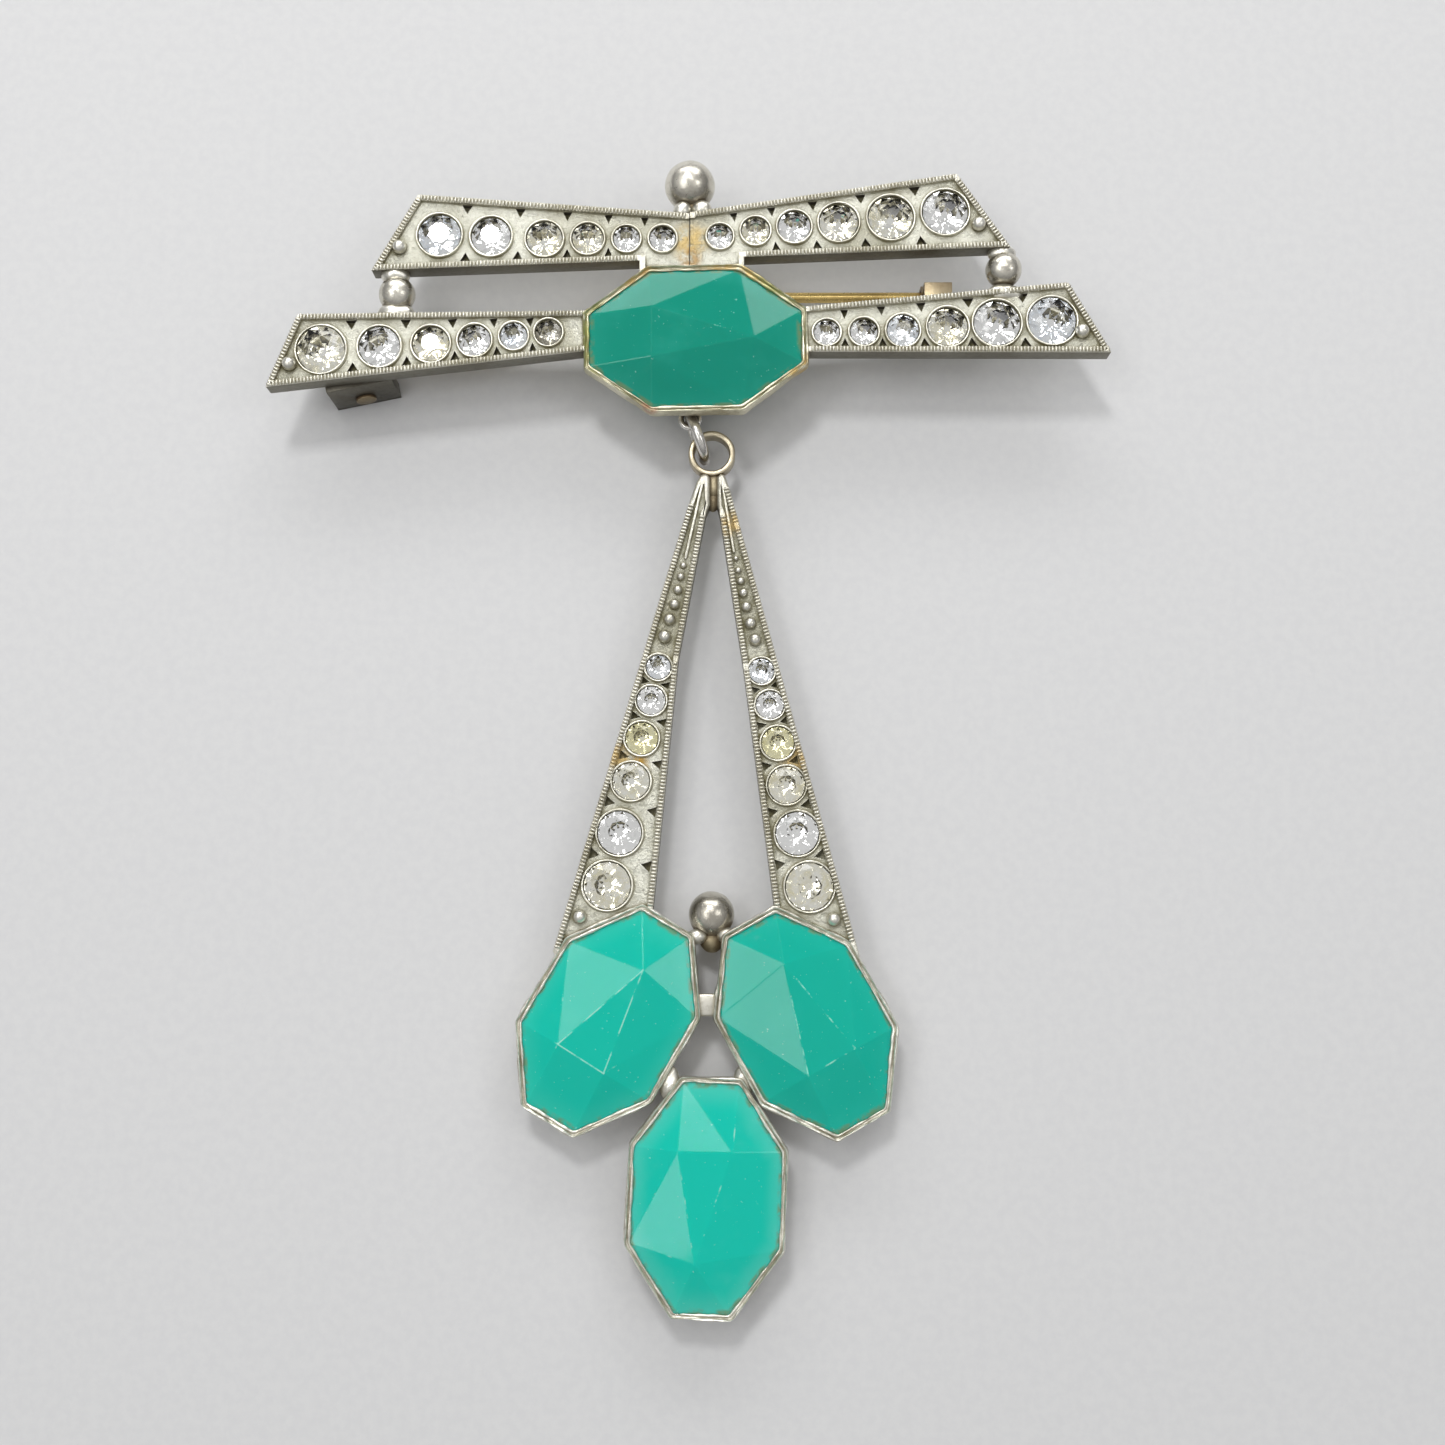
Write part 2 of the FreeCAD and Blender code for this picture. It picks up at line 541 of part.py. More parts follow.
# Drop: settings round their meeting point
bottom_at = (MEETING_AT[0], MEETING_AT[1] - BOTTOM_SETTING_GAP - SETTING_LENGTH / 2)
drop_settings = {
    "left": (side_setting_at(DROP_LEFT_TURN, -1), DROP_LEFT_TURN, True),
    "right": (side_setting_at(DROP_RIGHT_TURN, 1), DROP_RIGHT_TURN, False),
    "bottom": (bottom_at, DROP_BOTTOM_TURN, False)}
drop = {}
envelopes = {}
for side, (at, turn, mirrored) in drop_settings.items():
    envelopes[side] = place(setting_envelope(), at, turn, mirrored)
    drop["drop_" + side + "_setting"] = place(octagon_setting(DROP_FACE_Z), at, turn, mirrored)
    drop["drop_" + side + "_stone"] = place(octagon_stone(DROP_FACE_Z), at, turn, mirrored)

# Bridge bar between the side settings, one piece with the left one
bridge_high = DROP_FACE_Z - BRIDGE_SINK
bridge_y = MEETING_AT[1] + BRIDGE_RISE
bridge_half = SIDE_SETTING_GAP + MARGIN
bridge = Part.makeBox(
    2 * bridge_half, BRIDGE_WIDTH, BRIDGE_THICKNESS,
    V(MEETING_AT[0] - bridge_half, bridge_y - BRIDGE_WIDTH / 2, bridge_high - BRIDGE_THICKNESS))
bridge = bridge.cut(envelopes["left"]).cut(envelopes["right"])
drop["drop_left_setting"] = drop["drop_left_setting"].fuse(bridge)

# Solder that joins the bottom setting to the side settings, one piece with the bottom one
for outward in (-1, 1):
    solder = cylinder(
        SOLDER_DIAMETER / 2, MEETING_AT[0] + outward * SOLDER_SPREAD, MEETING_AT[1] - BOTTOM_SETTING_GAP,
        DROP_FACE_Z - SOLDER_SINK - SOLDER_HEIGHT, DROP_FACE_Z - SOLDER_SINK)
    for side in ("left", "right", "bottom"):
        solder = solder.cut(envelopes[side])
    drop["drop_bottom_setting"] = drop["drop_bottom_setting"].fuse(solder)

# Drop: arms, pastes, ball and ring
ring_envelope = cylinder(DROP_RING_DIAMETER / 2, 0, 0, -MARGIN, BAR_FACE_Z)
for side, outline, collets, beads in (
        ("left", DROP_LEFT_OUTLINE, DROP_LEFT_COLLETS, DROP_LEFT_BEADS),
        ("right", DROP_RIGHT_OUTLINE, DROP_RIGHT_COLLETS, DROP_RIGHT_BEADS)):
    shape = arm(outline, collets, beads, DROP_FACE_Z)
    drop["drop_" + side + "_arm"] = shape.cut(ring_envelope).cut(envelopes["left"]).cut(envelopes["right"])
    for number, (x, y, diameter) in enumerate(collets, 1):
        drop["drop_" + side + "_paste_" + str(number)] = paste(x, y, diameter, DROP_FACE_Z)
drop_ball = ball(
    DROP_BALL_DIAMETER, DROP_BALL_AT[0], DROP_BALL_AT[1], DROP_FACE_Z - DROP_BALL_SINK,
    DROP_STUB_DIAMETER, DROP_BALL_AT[1] - DROP_STUB_REACH, DROP_BALL_AT[1])
for side in ("left", "right"):
    drop_ball = drop_ball.cut(envelopes[side])
drop["drop_ball"] = drop_ball
for name, shape in drop.items():
    shape.translate(V(DROP_RING_X, DROP_RING_Y, 0))
    parts[name] = shape
parts["drop_ring"] = drop_ring()

os.makedirs("parts", exist_ok=True)
for name, shape in parts.items():
    shape.exportStep("parts/" + name + ".step")
print(len(parts), "nodes; pin turned", round(math.degrees(pin_turn), 4), "degrees in plan; ring at", ring_centre)
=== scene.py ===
# %% [markdown]
# # A paste-set drop brooch
# This lesson dresses a CAD frame of an Art Deco style brooch: a bar of four cast arms round an octagon of
# green glass, and a drop with three more octagons that hangs from it on a jump ring. The frame gives every
# size and place. What is added here is what a jeweller adds: rounded edges, milgrain, collets, facets, foil
# behind the stones, burnished bezels, solder and tarnish. Lengths are written in millimetres, as at the
# bench, and MM turns them into Blender's metres.

# %% Load the frame
import json
import math
import random

import bpy
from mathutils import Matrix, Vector

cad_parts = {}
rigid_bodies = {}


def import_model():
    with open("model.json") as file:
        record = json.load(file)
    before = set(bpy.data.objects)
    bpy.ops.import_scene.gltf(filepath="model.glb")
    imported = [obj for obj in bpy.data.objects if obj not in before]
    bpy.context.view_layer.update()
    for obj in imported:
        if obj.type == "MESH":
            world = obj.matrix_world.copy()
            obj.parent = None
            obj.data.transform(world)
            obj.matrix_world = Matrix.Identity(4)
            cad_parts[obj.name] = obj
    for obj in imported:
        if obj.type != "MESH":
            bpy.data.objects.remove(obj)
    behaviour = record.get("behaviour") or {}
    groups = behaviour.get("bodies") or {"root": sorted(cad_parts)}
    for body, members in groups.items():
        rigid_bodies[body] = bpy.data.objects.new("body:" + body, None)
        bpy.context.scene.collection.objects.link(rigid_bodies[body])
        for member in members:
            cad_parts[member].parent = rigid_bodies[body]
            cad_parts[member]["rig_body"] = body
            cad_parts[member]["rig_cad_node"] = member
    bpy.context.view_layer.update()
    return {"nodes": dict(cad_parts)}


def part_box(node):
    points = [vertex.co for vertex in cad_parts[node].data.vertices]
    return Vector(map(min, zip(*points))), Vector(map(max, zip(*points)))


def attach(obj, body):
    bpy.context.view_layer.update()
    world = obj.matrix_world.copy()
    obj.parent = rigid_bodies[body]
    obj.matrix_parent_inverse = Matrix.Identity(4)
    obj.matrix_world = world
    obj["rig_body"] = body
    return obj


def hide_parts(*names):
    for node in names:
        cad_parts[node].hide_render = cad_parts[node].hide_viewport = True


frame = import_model()
nodes = frame["nodes"]
MM = 0.001
rng = random.Random(11)

# %% [markdown]
# ## Heights and centres
# The brooch lies on its back, and its faces look up. The bar sits higher than the drop, because its pin
# fitting is behind it. Both face heights come from the frame, and so does the middle of every stone: an
# octagon and a round paste look the same turned half round, so the middle of the box is the middle of the
# stone.

# %% Heights and centres
BAR_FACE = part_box("centre_setting")[1].z / MM
DROP_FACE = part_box("drop_left_setting")[1].z / MM


def middle(node):
    """Middle of a node's box, in millimetres."""
    low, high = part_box(node)
    return (low + high) / 2 / MM


ring_middle = middle("drop_ring")
RING_AT = (ring_middle.x, ring_middle.y)
print("faces at", round(BAR_FACE, 2), "and", round(DROP_FACE, 2), "mm; drop ring at", [round(v, 2) for v in RING_AT])

# %% [markdown]
# ## Small tools for modelling
# An operator acts on everything that is selected, so each piece starts with nothing selected. The helpers
# keep the usual moves short: pick some vertices, edges or faces by a test, apply a modifier, join loose parts
# into one piece, and hand the piece to the body that it moves with.

# %% Small tools for modelling


def deselect():
    """Nothing selected, in object mode."""
    if bpy.context.object and bpy.context.object.mode != "OBJECT":
        bpy.ops.object.mode_set(mode="OBJECT")
    bpy.ops.object.select_all(action="DESELECT")


def activate(piece):
    """Only this object selected, and active."""
    deselect()
    piece.select_set(True)
    bpy.context.view_layer.objects.active = piece
    return piece


def apply_place(piece):
    """Move the object's place into its mesh."""
    activate(piece)
    bpy.ops.object.transform_apply(location=True, rotation=True, scale=True)
    return piece


def edit_all(piece):
    """Edit mode with the whole mesh selected."""
    activate(piece)
    bpy.ops.object.mode_set(mode="EDIT")
    bpy.ops.mesh.select_all(action="SELECT")


def outwards(piece):
    """Doubles merged and all faces turned outwards."""
    edit_all(piece)
    bpy.ops.mesh.remove_doubles(threshold=0.0005 * MM)
    bpy.ops.mesh.normals_make_consistent(inside=False)
    bpy.ops.object.mode_set(mode="OBJECT")
    return piece


def modify(piece, kind, **settings):
    """Add one modifier with these settings and apply it."""
    activate(piece)
    modifier = piece.modifiers.new(kind.title(), kind)
    for key, value in settings.items():
        setattr(modifier, key, value)
    bpy.ops.object.modifier_apply(modifier=modifier.name)
    return piece


def joined(parts, name):
    """Several parts as one piece."""
    activate(parts[0])
    for part in parts:
        part.select_set(True)
    if len(parts) > 1:
        bpy.ops.object.join()
    piece = bpy.context.object
    piece.name = name
    piece.data.name = name
    return piece


def smooth(piece, degrees=35):
    """Smooth shading that keeps edges sharper than this."""
    activate(piece)
    bpy.ops.object.shade_smooth_by_angle(angle=math.radians(degrees))
    return piece


def pick(piece, kind, test):
    """Edit mode with what passes the test selected; kind is VERT, EDGE or FACE."""
    edit_all(piece)
    bpy.ops.mesh.select_all(action="DESELECT")
    bpy.ops.mesh.select_mode(type=kind)
    bpy.ops.object.mode_set(mode="OBJECT")
    elements = {"VERT": piece.data.vertices, "EDGE": piece.data.edges, "FACE": piece.data.polygons}[kind]
    for element in elements:
        element.select = test(element)
    bpy.ops.object.mode_set(mode="EDIT")


def hand_over(piece, body, slot, *replaced):
    """The piece rides on its body and stands for its nodes; slot is not used."""
    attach(piece, body)
    if replaced:
        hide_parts(*replaced)
    return piece


print("tools ready")

# %% [markdown]
# ## Tools for materials
# A material is a tree of nodes, and wiring one in code gets long. These helpers add a node with its values,
# link sockets, and make the few nodes that come back again and again: a smooth step between two limits, a
# sum, a noise whose lumps have a size in millimetres, and a mix of two colours.

# %% Tools for materials


def group_of(name, inputs, outputs):
    """Empty shader node group with its sockets, and its input and output nodes."""
    group = bpy.data.node_groups.new(name, "ShaderNodeTree")
    for label, kind, value in inputs:
        socket = group.interface.new_socket(name=label, in_out="INPUT", socket_type=kind)
        socket.default_value = value
    for label, kind in outputs:
        group.interface.new_socket(name=label, in_out="OUTPUT", socket_type=kind)
    return group, group.nodes.new("NodeGroupInput"), group.nodes.new("NodeGroupOutput")


def add(tree, kind, **values):
    """New node; keys that are sockets set their value, the others set the node's own settings."""
    node = tree.nodes.new(kind)
    for key, value in values.items():
        if key.startswith("in_"):
            label = key[3:]
            node.inputs[int(label) if label.isdigit() else label.replace("_", " ")].default_value = value
        else:
            setattr(node, key, value)
    return node


def wire(tree, *pairs):
    """Link each output to each input."""
    for output, socket in pairs:
        tree.links.new(output, socket)


def ramp(tree, source, low, high, start=0.0, end=1.0):
    """Smooth step of a value between two limits."""
    node = add(tree, "ShaderNodeMapRange", interpolation_type="SMOOTHSTEP", in_1=low, in_2=high, in_3=start, in_4=end)
    wire(tree, (source, node.inputs[0]))
    return node.outputs[0]


def maths(tree, operation, first, second):
    """Math node of two sources, each a socket or a number."""
    node = add(tree, "ShaderNodeMath", operation=operation, use_clamp=True)
    for source, socket in ((first, node.inputs[0]), (second, node.inputs[1])):
        if isinstance(source, (int, float)):
            socket.default_value = source
        else:
            wire(tree, (source, socket))
    return node.outputs[0]


def noise(tree, vector, size, detail=4.0, rough=0.6):
    """Noise whose lumps are about this many millimetres."""
    node = add(tree, "ShaderNodeTexNoise", in_Scale=1 / (size * MM), in_Detail=detail, in_Roughness=rough)
    wire(tree, (vector, node.inputs["Vector"]))
    return node.outputs["Fac"]


def mixed(tree, mask, first, second):
    """Colour mix by a mask; each colour is a socket or a plain colour."""
    node = add(tree, "ShaderNodeMix", data_type="RGBA")
    wire(tree, (mask, node.inputs[0]))
    for source, socket in ((first, node.inputs[6]), (second, node.inputs[7])):
        if isinstance(source, tuple):
            socket.default_value = source
        else:
            wire(tree, (source, socket))
    return node.outputs[2]


print("material tools ready")

# %% [markdown]
# ## Tarnish in the recesses
# Old costume metal is never one grey. Dirt and tarnish stay where a cloth can't reach, and the tops of edges
# are rubbed bright. Ambient occlusion says how closed in a point is, and noise breaks that mask up, so the
# dirt looks brushed rather than sprayed. A second mask is a thin film in patches, which open metal has too.
# The group is built once, and every metal places it with its own amount.

# %% Tarnish in the recesses
REACH = 0.7 * MM
tarnish_group, given, result = group_of(
    "recess_tarnish",
    [("Vector", "NodeSocketVector", (0, 0, 0)), ("Amount", "NodeSocketFloat", 1.0)],
    [("Recess", "NodeSocketFloat"), ("Film", "NodeSocketFloat")])
place, amount = given.outputs["Vector"], given.outputs["Amount"]
hollow = add(tarnish_group, "ShaderNodeAmbientOcclusion", samples=8, in_Distance=REACH)
patches = noise(tarnish_group, place, 1.1)
film = noise(tarnish_group, place, 6.0, 3.0)
mottle = noise(tarnish_group, place, 0.35, 4.0, 0.7)
closed = ramp(tarnish_group, hollow.outputs["AO"], 0.94, 0.45)
broken = ramp(tarnish_group, patches, 0.25, 0.7, 0.45, 1.0)
dirt = maths(tarnish_group, "MULTIPLY", closed, broken)
recess = maths(tarnish_group, "MULTIPLY", dirt, amount)
veil = maths(tarnish_group, "MULTIPLY", ramp(tarnish_group, film, 0.42, 0.72), amount)
veil = maths(tarnish_group, "ADD", veil, ramp(tarnish_group, mottle, 0.45, 0.7, 0.0, 0.55))
wire(tarnish_group, (recess, result.inputs["Recess"]), (veil, result.inputs["Film"]))
print("tarnish group:", len(tarnish_group.nodes), "nodes")

# %% [markdown]
# ## Grain of a casting
# A cast skin keeps the grain of its mould: fine roughness over small shallow pits. Two sizes of noise are
# added up as a height, and the Bump node of each metal turns that height into relief.

# %% Grain of a casting
grain_group, given, result = group_of(
    "casting_grain",
    [("Vector", "NodeSocketVector", (0, 0, 0)), ("Pits", "NodeSocketFloat", 0.5)],
    [("Height", "NodeSocketFloat")])
fine = noise(grain_group, given.outputs["Vector"], 0.22, 4.0, 0.7)
coarse = noise(grain_group, given.outputs["Vector"], 0.8, 2.0)
fine_height = maths(grain_group, "MULTIPLY", fine, 0.45)
coarse_height = maths(grain_group, "MULTIPLY", coarse, given.outputs["Pits"])
height = maths(grain_group, "ADD", fine_height, coarse_height)
wire(grain_group, (height, result.inputs["Height"]))
print("grain group:", len(grain_group.nodes), "nodes")

# %% [markdown]
# ## Stain spots
# A soldering torch leaves brown and golden stains near a joint. A stain is a round mask about a named place,
# and noise eats into its edge. Each metal tints itself where its own list of stains says.

# %% Stain spots
stain_group, given, result = group_of(
    "stain_spot",
    [("Vector", "NodeSocketVector", (0, 0, 0)), ("Centre", "NodeSocketVector", (0, 0, 0)),
     ("Radius", "NodeSocketFloat", 0.001)],
    [("Mask", "NodeSocketFloat")])
gap = add(stain_group, "ShaderNodeVectorMath", operation="DISTANCE")
wire(stain_group, (given.outputs["Vector"], gap.inputs[0]), (given.outputs["Centre"], gap.inputs[1]))
share = maths(stain_group, "DIVIDE", gap.outputs["Value"], given.outputs["Radius"])
blot = noise(stain_group, given.outputs["Vector"], 0.8)
mask = maths(stain_group, "MULTIPLY", ramp(stain_group, share, 1.0, 0.3), ramp(stain_group, blot, 0.3, 0.6))
wire(stain_group, (mask, result.inputs["Mask"]))
print("node groups:", [g.name for g in bpy.data.node_groups])

# %% [markdown]
# ## Metals
# The white metal is a warm, pale silver colour that has gone yellow-brown in its recesses. Each metal is one
# Principled shader: the tarnish group tints and roughens it, the grain group gives the bump, and stains tint
# it where a list says. Silver, nickel, brass and solder differ in their clean and dull colours, in how rough
# each of these is, and in how much tarnish and grain they carry. The sunk floor of an arm is darker and
# coarser than its rail, and the walls of its cups and pits are nearly black, which is painted shade.

# %% Metals
FILM_SHARE = 0.45
DIRTY_METALLIC = 0.55
SCUFF_ROUGHNESS = 0.12


def metal(name, clean, dull, shine, worn, amount=1.0, bump=0.25, pits=0.5, stains=(), relief_depth=0.12):
    """Metal with tarnish in its recesses: clean and dull colours, and how rough each is (shine, worn)."""
    material = bpy.data.materials.new(name)
    material.use_nodes = True
    tree = material.node_tree
    shader = tree.nodes["Principled BSDF"]
    place = add(tree, "ShaderNodeTexCoord").outputs["Object"]
    tarnish = add(tree, "ShaderNodeGroup", node_tree=tarnish_group, in_Amount=amount)
    grain = add(tree, "ShaderNodeGroup", node_tree=grain_group, in_Pits=pits)
    wire(tree, (place, tarnish.inputs["Vector"]), (place, grain.inputs["Vector"]))
    recess = tarnish.outputs["Recess"]
    film_colour = tuple((1 - FILM_SHARE) * c + FILM_SHARE * d for c, d in zip(clean, dull))
    colour = mixed(tree, tarnish.outputs["Film"], clean, film_colour)
    colour = mixed(tree, recess, colour, dull)
    for centre, radius, tint in stains:
        spot = add(tree, "ShaderNodeGroup", node_tree=stain_group, in_Radius=radius * MM)
        spot.inputs["Centre"].default_value = [v * MM for v in centre]
        wire(tree, (place, spot.inputs["Vector"]))
        colour = mixed(tree, spot.outputs["Mask"], colour, tint)
    wire(tree, (colour, shader.inputs["Base Color"]))
    wire(tree, (ramp(tree, recess, 0.0, 1.0, 1.0, DIRTY_METALLIC), shader.inputs["Metallic"]))
    scuffs = maths(tree, "MULTIPLY", noise(tree, place, 0.35, 5.0), SCUFF_ROUGHNESS)
    rough = maths(tree, "ADD", ramp(tree, recess, 0.0, 1.0, shine, worn), scuffs)
    wire(tree, (rough, shader.inputs["Roughness"]))
    relief = add(tree, "ShaderNodeBump", in_Strength=bump, in_Distance=relief_depth * MM)
    wire(
        tree, (grain.outputs["Height"], relief.inputs["Height"]),
        (relief.outputs["Normal"], shader.inputs["Normal"]))
    return material


GOLDEN = (0.56, 0.42, 0.19, 1)
TORCH_BROWN = (0.36, 0.22, 0.08, 1)
AMBER = (0.52, 0.32, 0.07, 1)
VERDIGRIS = (0.40, 0.40, 0.17, 1)
ROSE = (0.46, 0.24, 0.15, 1)
CAST_STAINS = [
    ((0.1, 37.6, 6.0), 2.1, GOLDEN), ((0.05, 36.2, 6.0), 1.2, TORCH_BROWN),
    ((-4.0, -3.4, 3.4), 1.3, AMBER), ((-5.2, -3.0, 3.4), 1.5, GOLDEN), ((8.1, -3.2, 3.4), 1.5, GOLDEN),
    ((3.2, 15.4, 3.5), 1.4, GOLDEN)]
BEZEL_STAINS = [
    ((6.4, 34.4, 6.0), 4.2, VERDIGRIS), ((3.6, 35.6, 6.0), 3.4, GOLDEN), ((-3.2, 23.8, 6.0), 1.0, ROSE),
    ((-8.0, 30.0, 6.0), 4.6, VERDIGRIS), ((-4.5, 35.4, 6.0), 2.6, GOLDEN), ((9.0, 27.0, 6.0), 2.0, GOLDEN)]
silver = metal(
    "cast_white_metal", clean=(0.74, 0.72, 0.63, 1), dull=(0.26, 0.23, 0.13, 1), shine=0.32, worn=0.6,
    bump=0.9, relief_depth=0.17, stains=CAST_STAINS)
collet_metal = metal(
    "collet_metal", clean=(0.90, 0.88, 0.78, 1), dull=(0.26, 0.23, 0.12, 1), shine=0.26, worn=0.55, bump=0.7)
# The walls of cups, pits and sides are nearly black: painted shade.
shaded_wall_metal = metal(
    "wall_painted_shade", clean=(0.24, 0.23, 0.19, 1), dull=(0.12, 0.10, 0.07, 1), shine=0.42, worn=0.65, bump=0.4)
floor_metal = metal(
    "aged_floor", clean=(0.67, 0.665, 0.58, 1), dull=(0.22, 0.20, 0.11, 1), shine=0.32, worn=0.6,
    amount=1.2, bump=1.0, pits=0.8, relief_depth=0.25, stains=CAST_STAINS)
bezel_metal = metal(
    "bezel_strip", clean=(0.86, 0.84, 0.76, 1), dull=(0.24, 0.21, 0.12, 1), shine=0.26, worn=0.55,
    amount=0.85, bump=0.7)
aged_bezel = metal(
    "aged_bezel_strip", clean=(0.80, 0.76, 0.60, 1), dull=(0.20, 0.18, 0.08, 1), shine=0.28, worn=0.6,
    amount=1.4, bump=0.8, stains=BEZEL_STAINS)
# The balls' very dark dull colour and high tarnish amount darken them where they are closed in: partly tarnish, and
# partly painted shade for the dark reflections under them.
nickel = metal(
    "ball_nickel", clean=(0.78, 0.75, 0.66, 1), dull=(0.14, 0.11, 0.07, 1), shine=0.20, worn=0.5,
    amount=1.3, bump=0.3, pits=0.9)
ring_wire = metal(
    "ring_wire", clean=(0.82, 0.80, 0.76, 1), dull=(0.18, 0.14, 0.09, 1), shine=0.16, worn=0.45, bump=0.15)
old_ring = metal(
    "drop_ring_metal", clean=(0.56, 0.50, 0.37, 1), dull=(0.15, 0.10, 0.04, 1), shine=0.26, worn=0.55,
    amount=1.8, bump=0.3)
solder = metal(
    "brown_solder", clean=(0.46, 0.40, 0.27, 1), dull=(0.14, 0.10, 0.05, 1), shine=0.4, worn=0.65, bump=0.6)
bright_solder = metal(
    "bright_solder", clean=(0.90, 0.88, 0.80, 1), dull=(0.30, 0.27, 0.18, 1), shine=0.24, worn=0.5,
    amount=0.7, bump=0.4)
brass = metal(
    "pin_brass", clean=(0.82, 0.61, 0.24, 1), dull=(0.30, 0.17, 0.05, 1), shine=0.22, worn=0.5, bump=0.1)
# The hinge block is nearly black, and the catch and rivet are dark brown: painted shade for the deep shadow under the
# bar.
shadow_dark_fitting = metal(
    "fitting_painted_shadow", clean=(0.17, 0.16, 0.13, 1), dull=(0.06, 0.05, 0.035, 1), shine=0.35, worn=0.6)
shaded_brown_fitting = metal(
    "catch_painted_shade", clean=(0.34, 0.28, 0.18, 1), dull=(0.16, 0.09, 0.04, 1), shine=0.32, worn=0.6)
print("metals:", len(bpy.data.materials))


def paint(piece, *materials):
    """Give a piece its materials, in slot order."""
    piece.data.materials.clear()
    for material in materials:
        piece.data.materials.append(material)
    return piece


# %% [markdown]
# ## Plan of the octagons
# All four stones have one plan, an octagon longer than it is wide. Its corners follow from four sizes of the
# stone, and an inset moves all eight sides inwards by the same amount, or outwards when it is negative. Each
# setting turns the plan to its own angle about the middle of its stone. Two are mirrored, because the upper
# facets of a stone aren't quite the same left and right.

# %% Plan of the octagons
STONE_LENGTH, STONE_WIDTH, STONE_END, STONE_SIDE = 16.8, 11.2, 4.2, 7.05


def octagon(inset):
    """Corners of the stone's plan moved inwards, clockwise from its upper end."""
    slope = math.atan2(STONE_LENGTH - STONE_SIDE, STONE_WIDTH - STONE_END)
    end = STONE_END / 2 - inset * math.tan(slope / 2)
    side = STONE_SIDE / 2 - inset * math.tan((math.pi / 2 - slope) / 2)
    wide = STONE_WIDTH / 2 - inset
    long = STONE_LENGTH / 2 - inset
    return [
        (-end, long), (end, long), (wide, side), (wide, -side),
        (end, -long), (-end, -long), (-wide, -side), (-wide, side)]


SETTINGS = {
    "centre": {"body": "bar", "turn": -88.8, "mirrored": True, "face": BAR_FACE},
    "drop_left": {"body": "drop", "turn": -30.8, "mirrored": True, "face": DROP_FACE},
    "drop_right": {"body": "drop", "turn": 29.2, "mirrored": False, "face": DROP_FACE},
    "drop_bottom": {"body": "drop", "turn": 177.5, "mirrored": False, "face": DROP_FACE}}


def in_place(points, side):
    """Points of the plan at a setting's place in the brooch."""
    centre = middle(side + "_stone")
    angle = math.radians(SETTINGS[side]["turn"])
    out = []
    for x, y in points:
        x = -x if SETTINGS[side]["mirrored"] else x
        out.append((
            centre.x + x * math.cos(angle) - y * math.sin(angle),
            centre.y + x * math.sin(angle) + y * math.cos(angle)))
    return out


def loop_of(points, height):
    """Open ring of vertices at the corners of an outline."""
    deselect()
    bpy.ops.mesh.primitive_circle_add(vertices=len(points), radius=MM, fill_type="NOTHING")
    ring = bpy.context.object
    for vertex, (x, y) in zip(ring.data.vertices, points):
        vertex.co = (x * MM, y * MM, height * MM)
    return ring


print("one plan for", list(SETTINGS))

# %% [markdown]
# ## Bezels and cups
# A bezel is a strip of thin metal bent round the stone, soldered to a cup, and burnished over the stone's
# edge with a hand tool, which leaves it slightly wavy. A ring of eight corners is drawn, then its edges are
# extruded station by station round the section of the strip and cup, and the last ring is bridged to the
# first. A station is an inset from the stone's edge and a height from the face, and RIM is the outside of
# the strip. Extra cuts along each side give two displace modifiers something to move, one for the marks of
# the tool and one for wider dents, and a subdivision rounds the lip as burnishing does.

# %% Bezels and cups
RIM = -0.38
BEZEL_SECTION = [
    (RIM + 1.5, -3.6), (RIM + 0.75, -2.4), (RIM, -1.25), (RIM, -0.9), (RIM, -0.24),
    (RIM + 0.02, -0.06), (RIM + 0.09, 0.02), (RIM + 0.16, -0.05), (RIM + 0.22, -0.2), (RIM + 0.29, -0.2),
    (RIM + 0.36, -0.08), (0.06, -0.1), (0.13, -0.17), (0.12, -0.25), (-0.02, -0.3), (-0.02, -1.15),
    (0.47, -1.8), (1.1, -1.82), (RIM + 2.4, -3.6)]
LIP_DEPTH = 1.0
SHORTEST_SIDE = 1.5
SIDE_CUTS = 17
SAME_PLACE = 0.001 * MM


def clouds(name, size):
    """Procedural cloud texture for a displace modifier, with lumps of this many millimetres."""
    texture = bpy.data.textures.new(name, "CLOUDS")
    texture.noise_scale = size * MM
    texture.noise_depth = 1
    return texture


burnish = clouds("burnish", 0.55)
dents = clouds("dents", 2.2)


def section_rings(side):
    """Rings of eight corners, extruded one from the other and bridged round the closed section."""
    face = SETTINGS[side]["face"]
    stations = [(in_place(octagon(inset), side), face + drop) for inset, drop in BEZEL_SECTION]
    setting = loop_of(*stations[0])
    for (before, height_before), (corners, height) in zip(stations, stations[1:]):
        marks = [Vector((x * MM, y * MM, height_before * MM)) for x, y in before]
        pick(setting, "VERT", lambda v: min((v.co - mark).length for mark in marks) < SAME_PLACE)
        bpy.ops.mesh.extrude_edges_move()
        bpy.ops.object.mode_set(mode="OBJECT")
        for vertex in setting.data.vertices:
            if vertex.select:
                corner = min(range(8), key=lambda k: (vertex.co - marks[k]).length)
                vertex.co = (corners[corner][0] * MM, corners[corner][1] * MM, height * MM)
    edit_all(setting)
    bpy.ops.mesh.select_all(action="DESELECT")
    bpy.ops.mesh.select_mode(type="EDGE")
    bpy.ops.mesh.select_non_manifold()
    bpy.ops.mesh.bridge_edge_loops()
    return setting


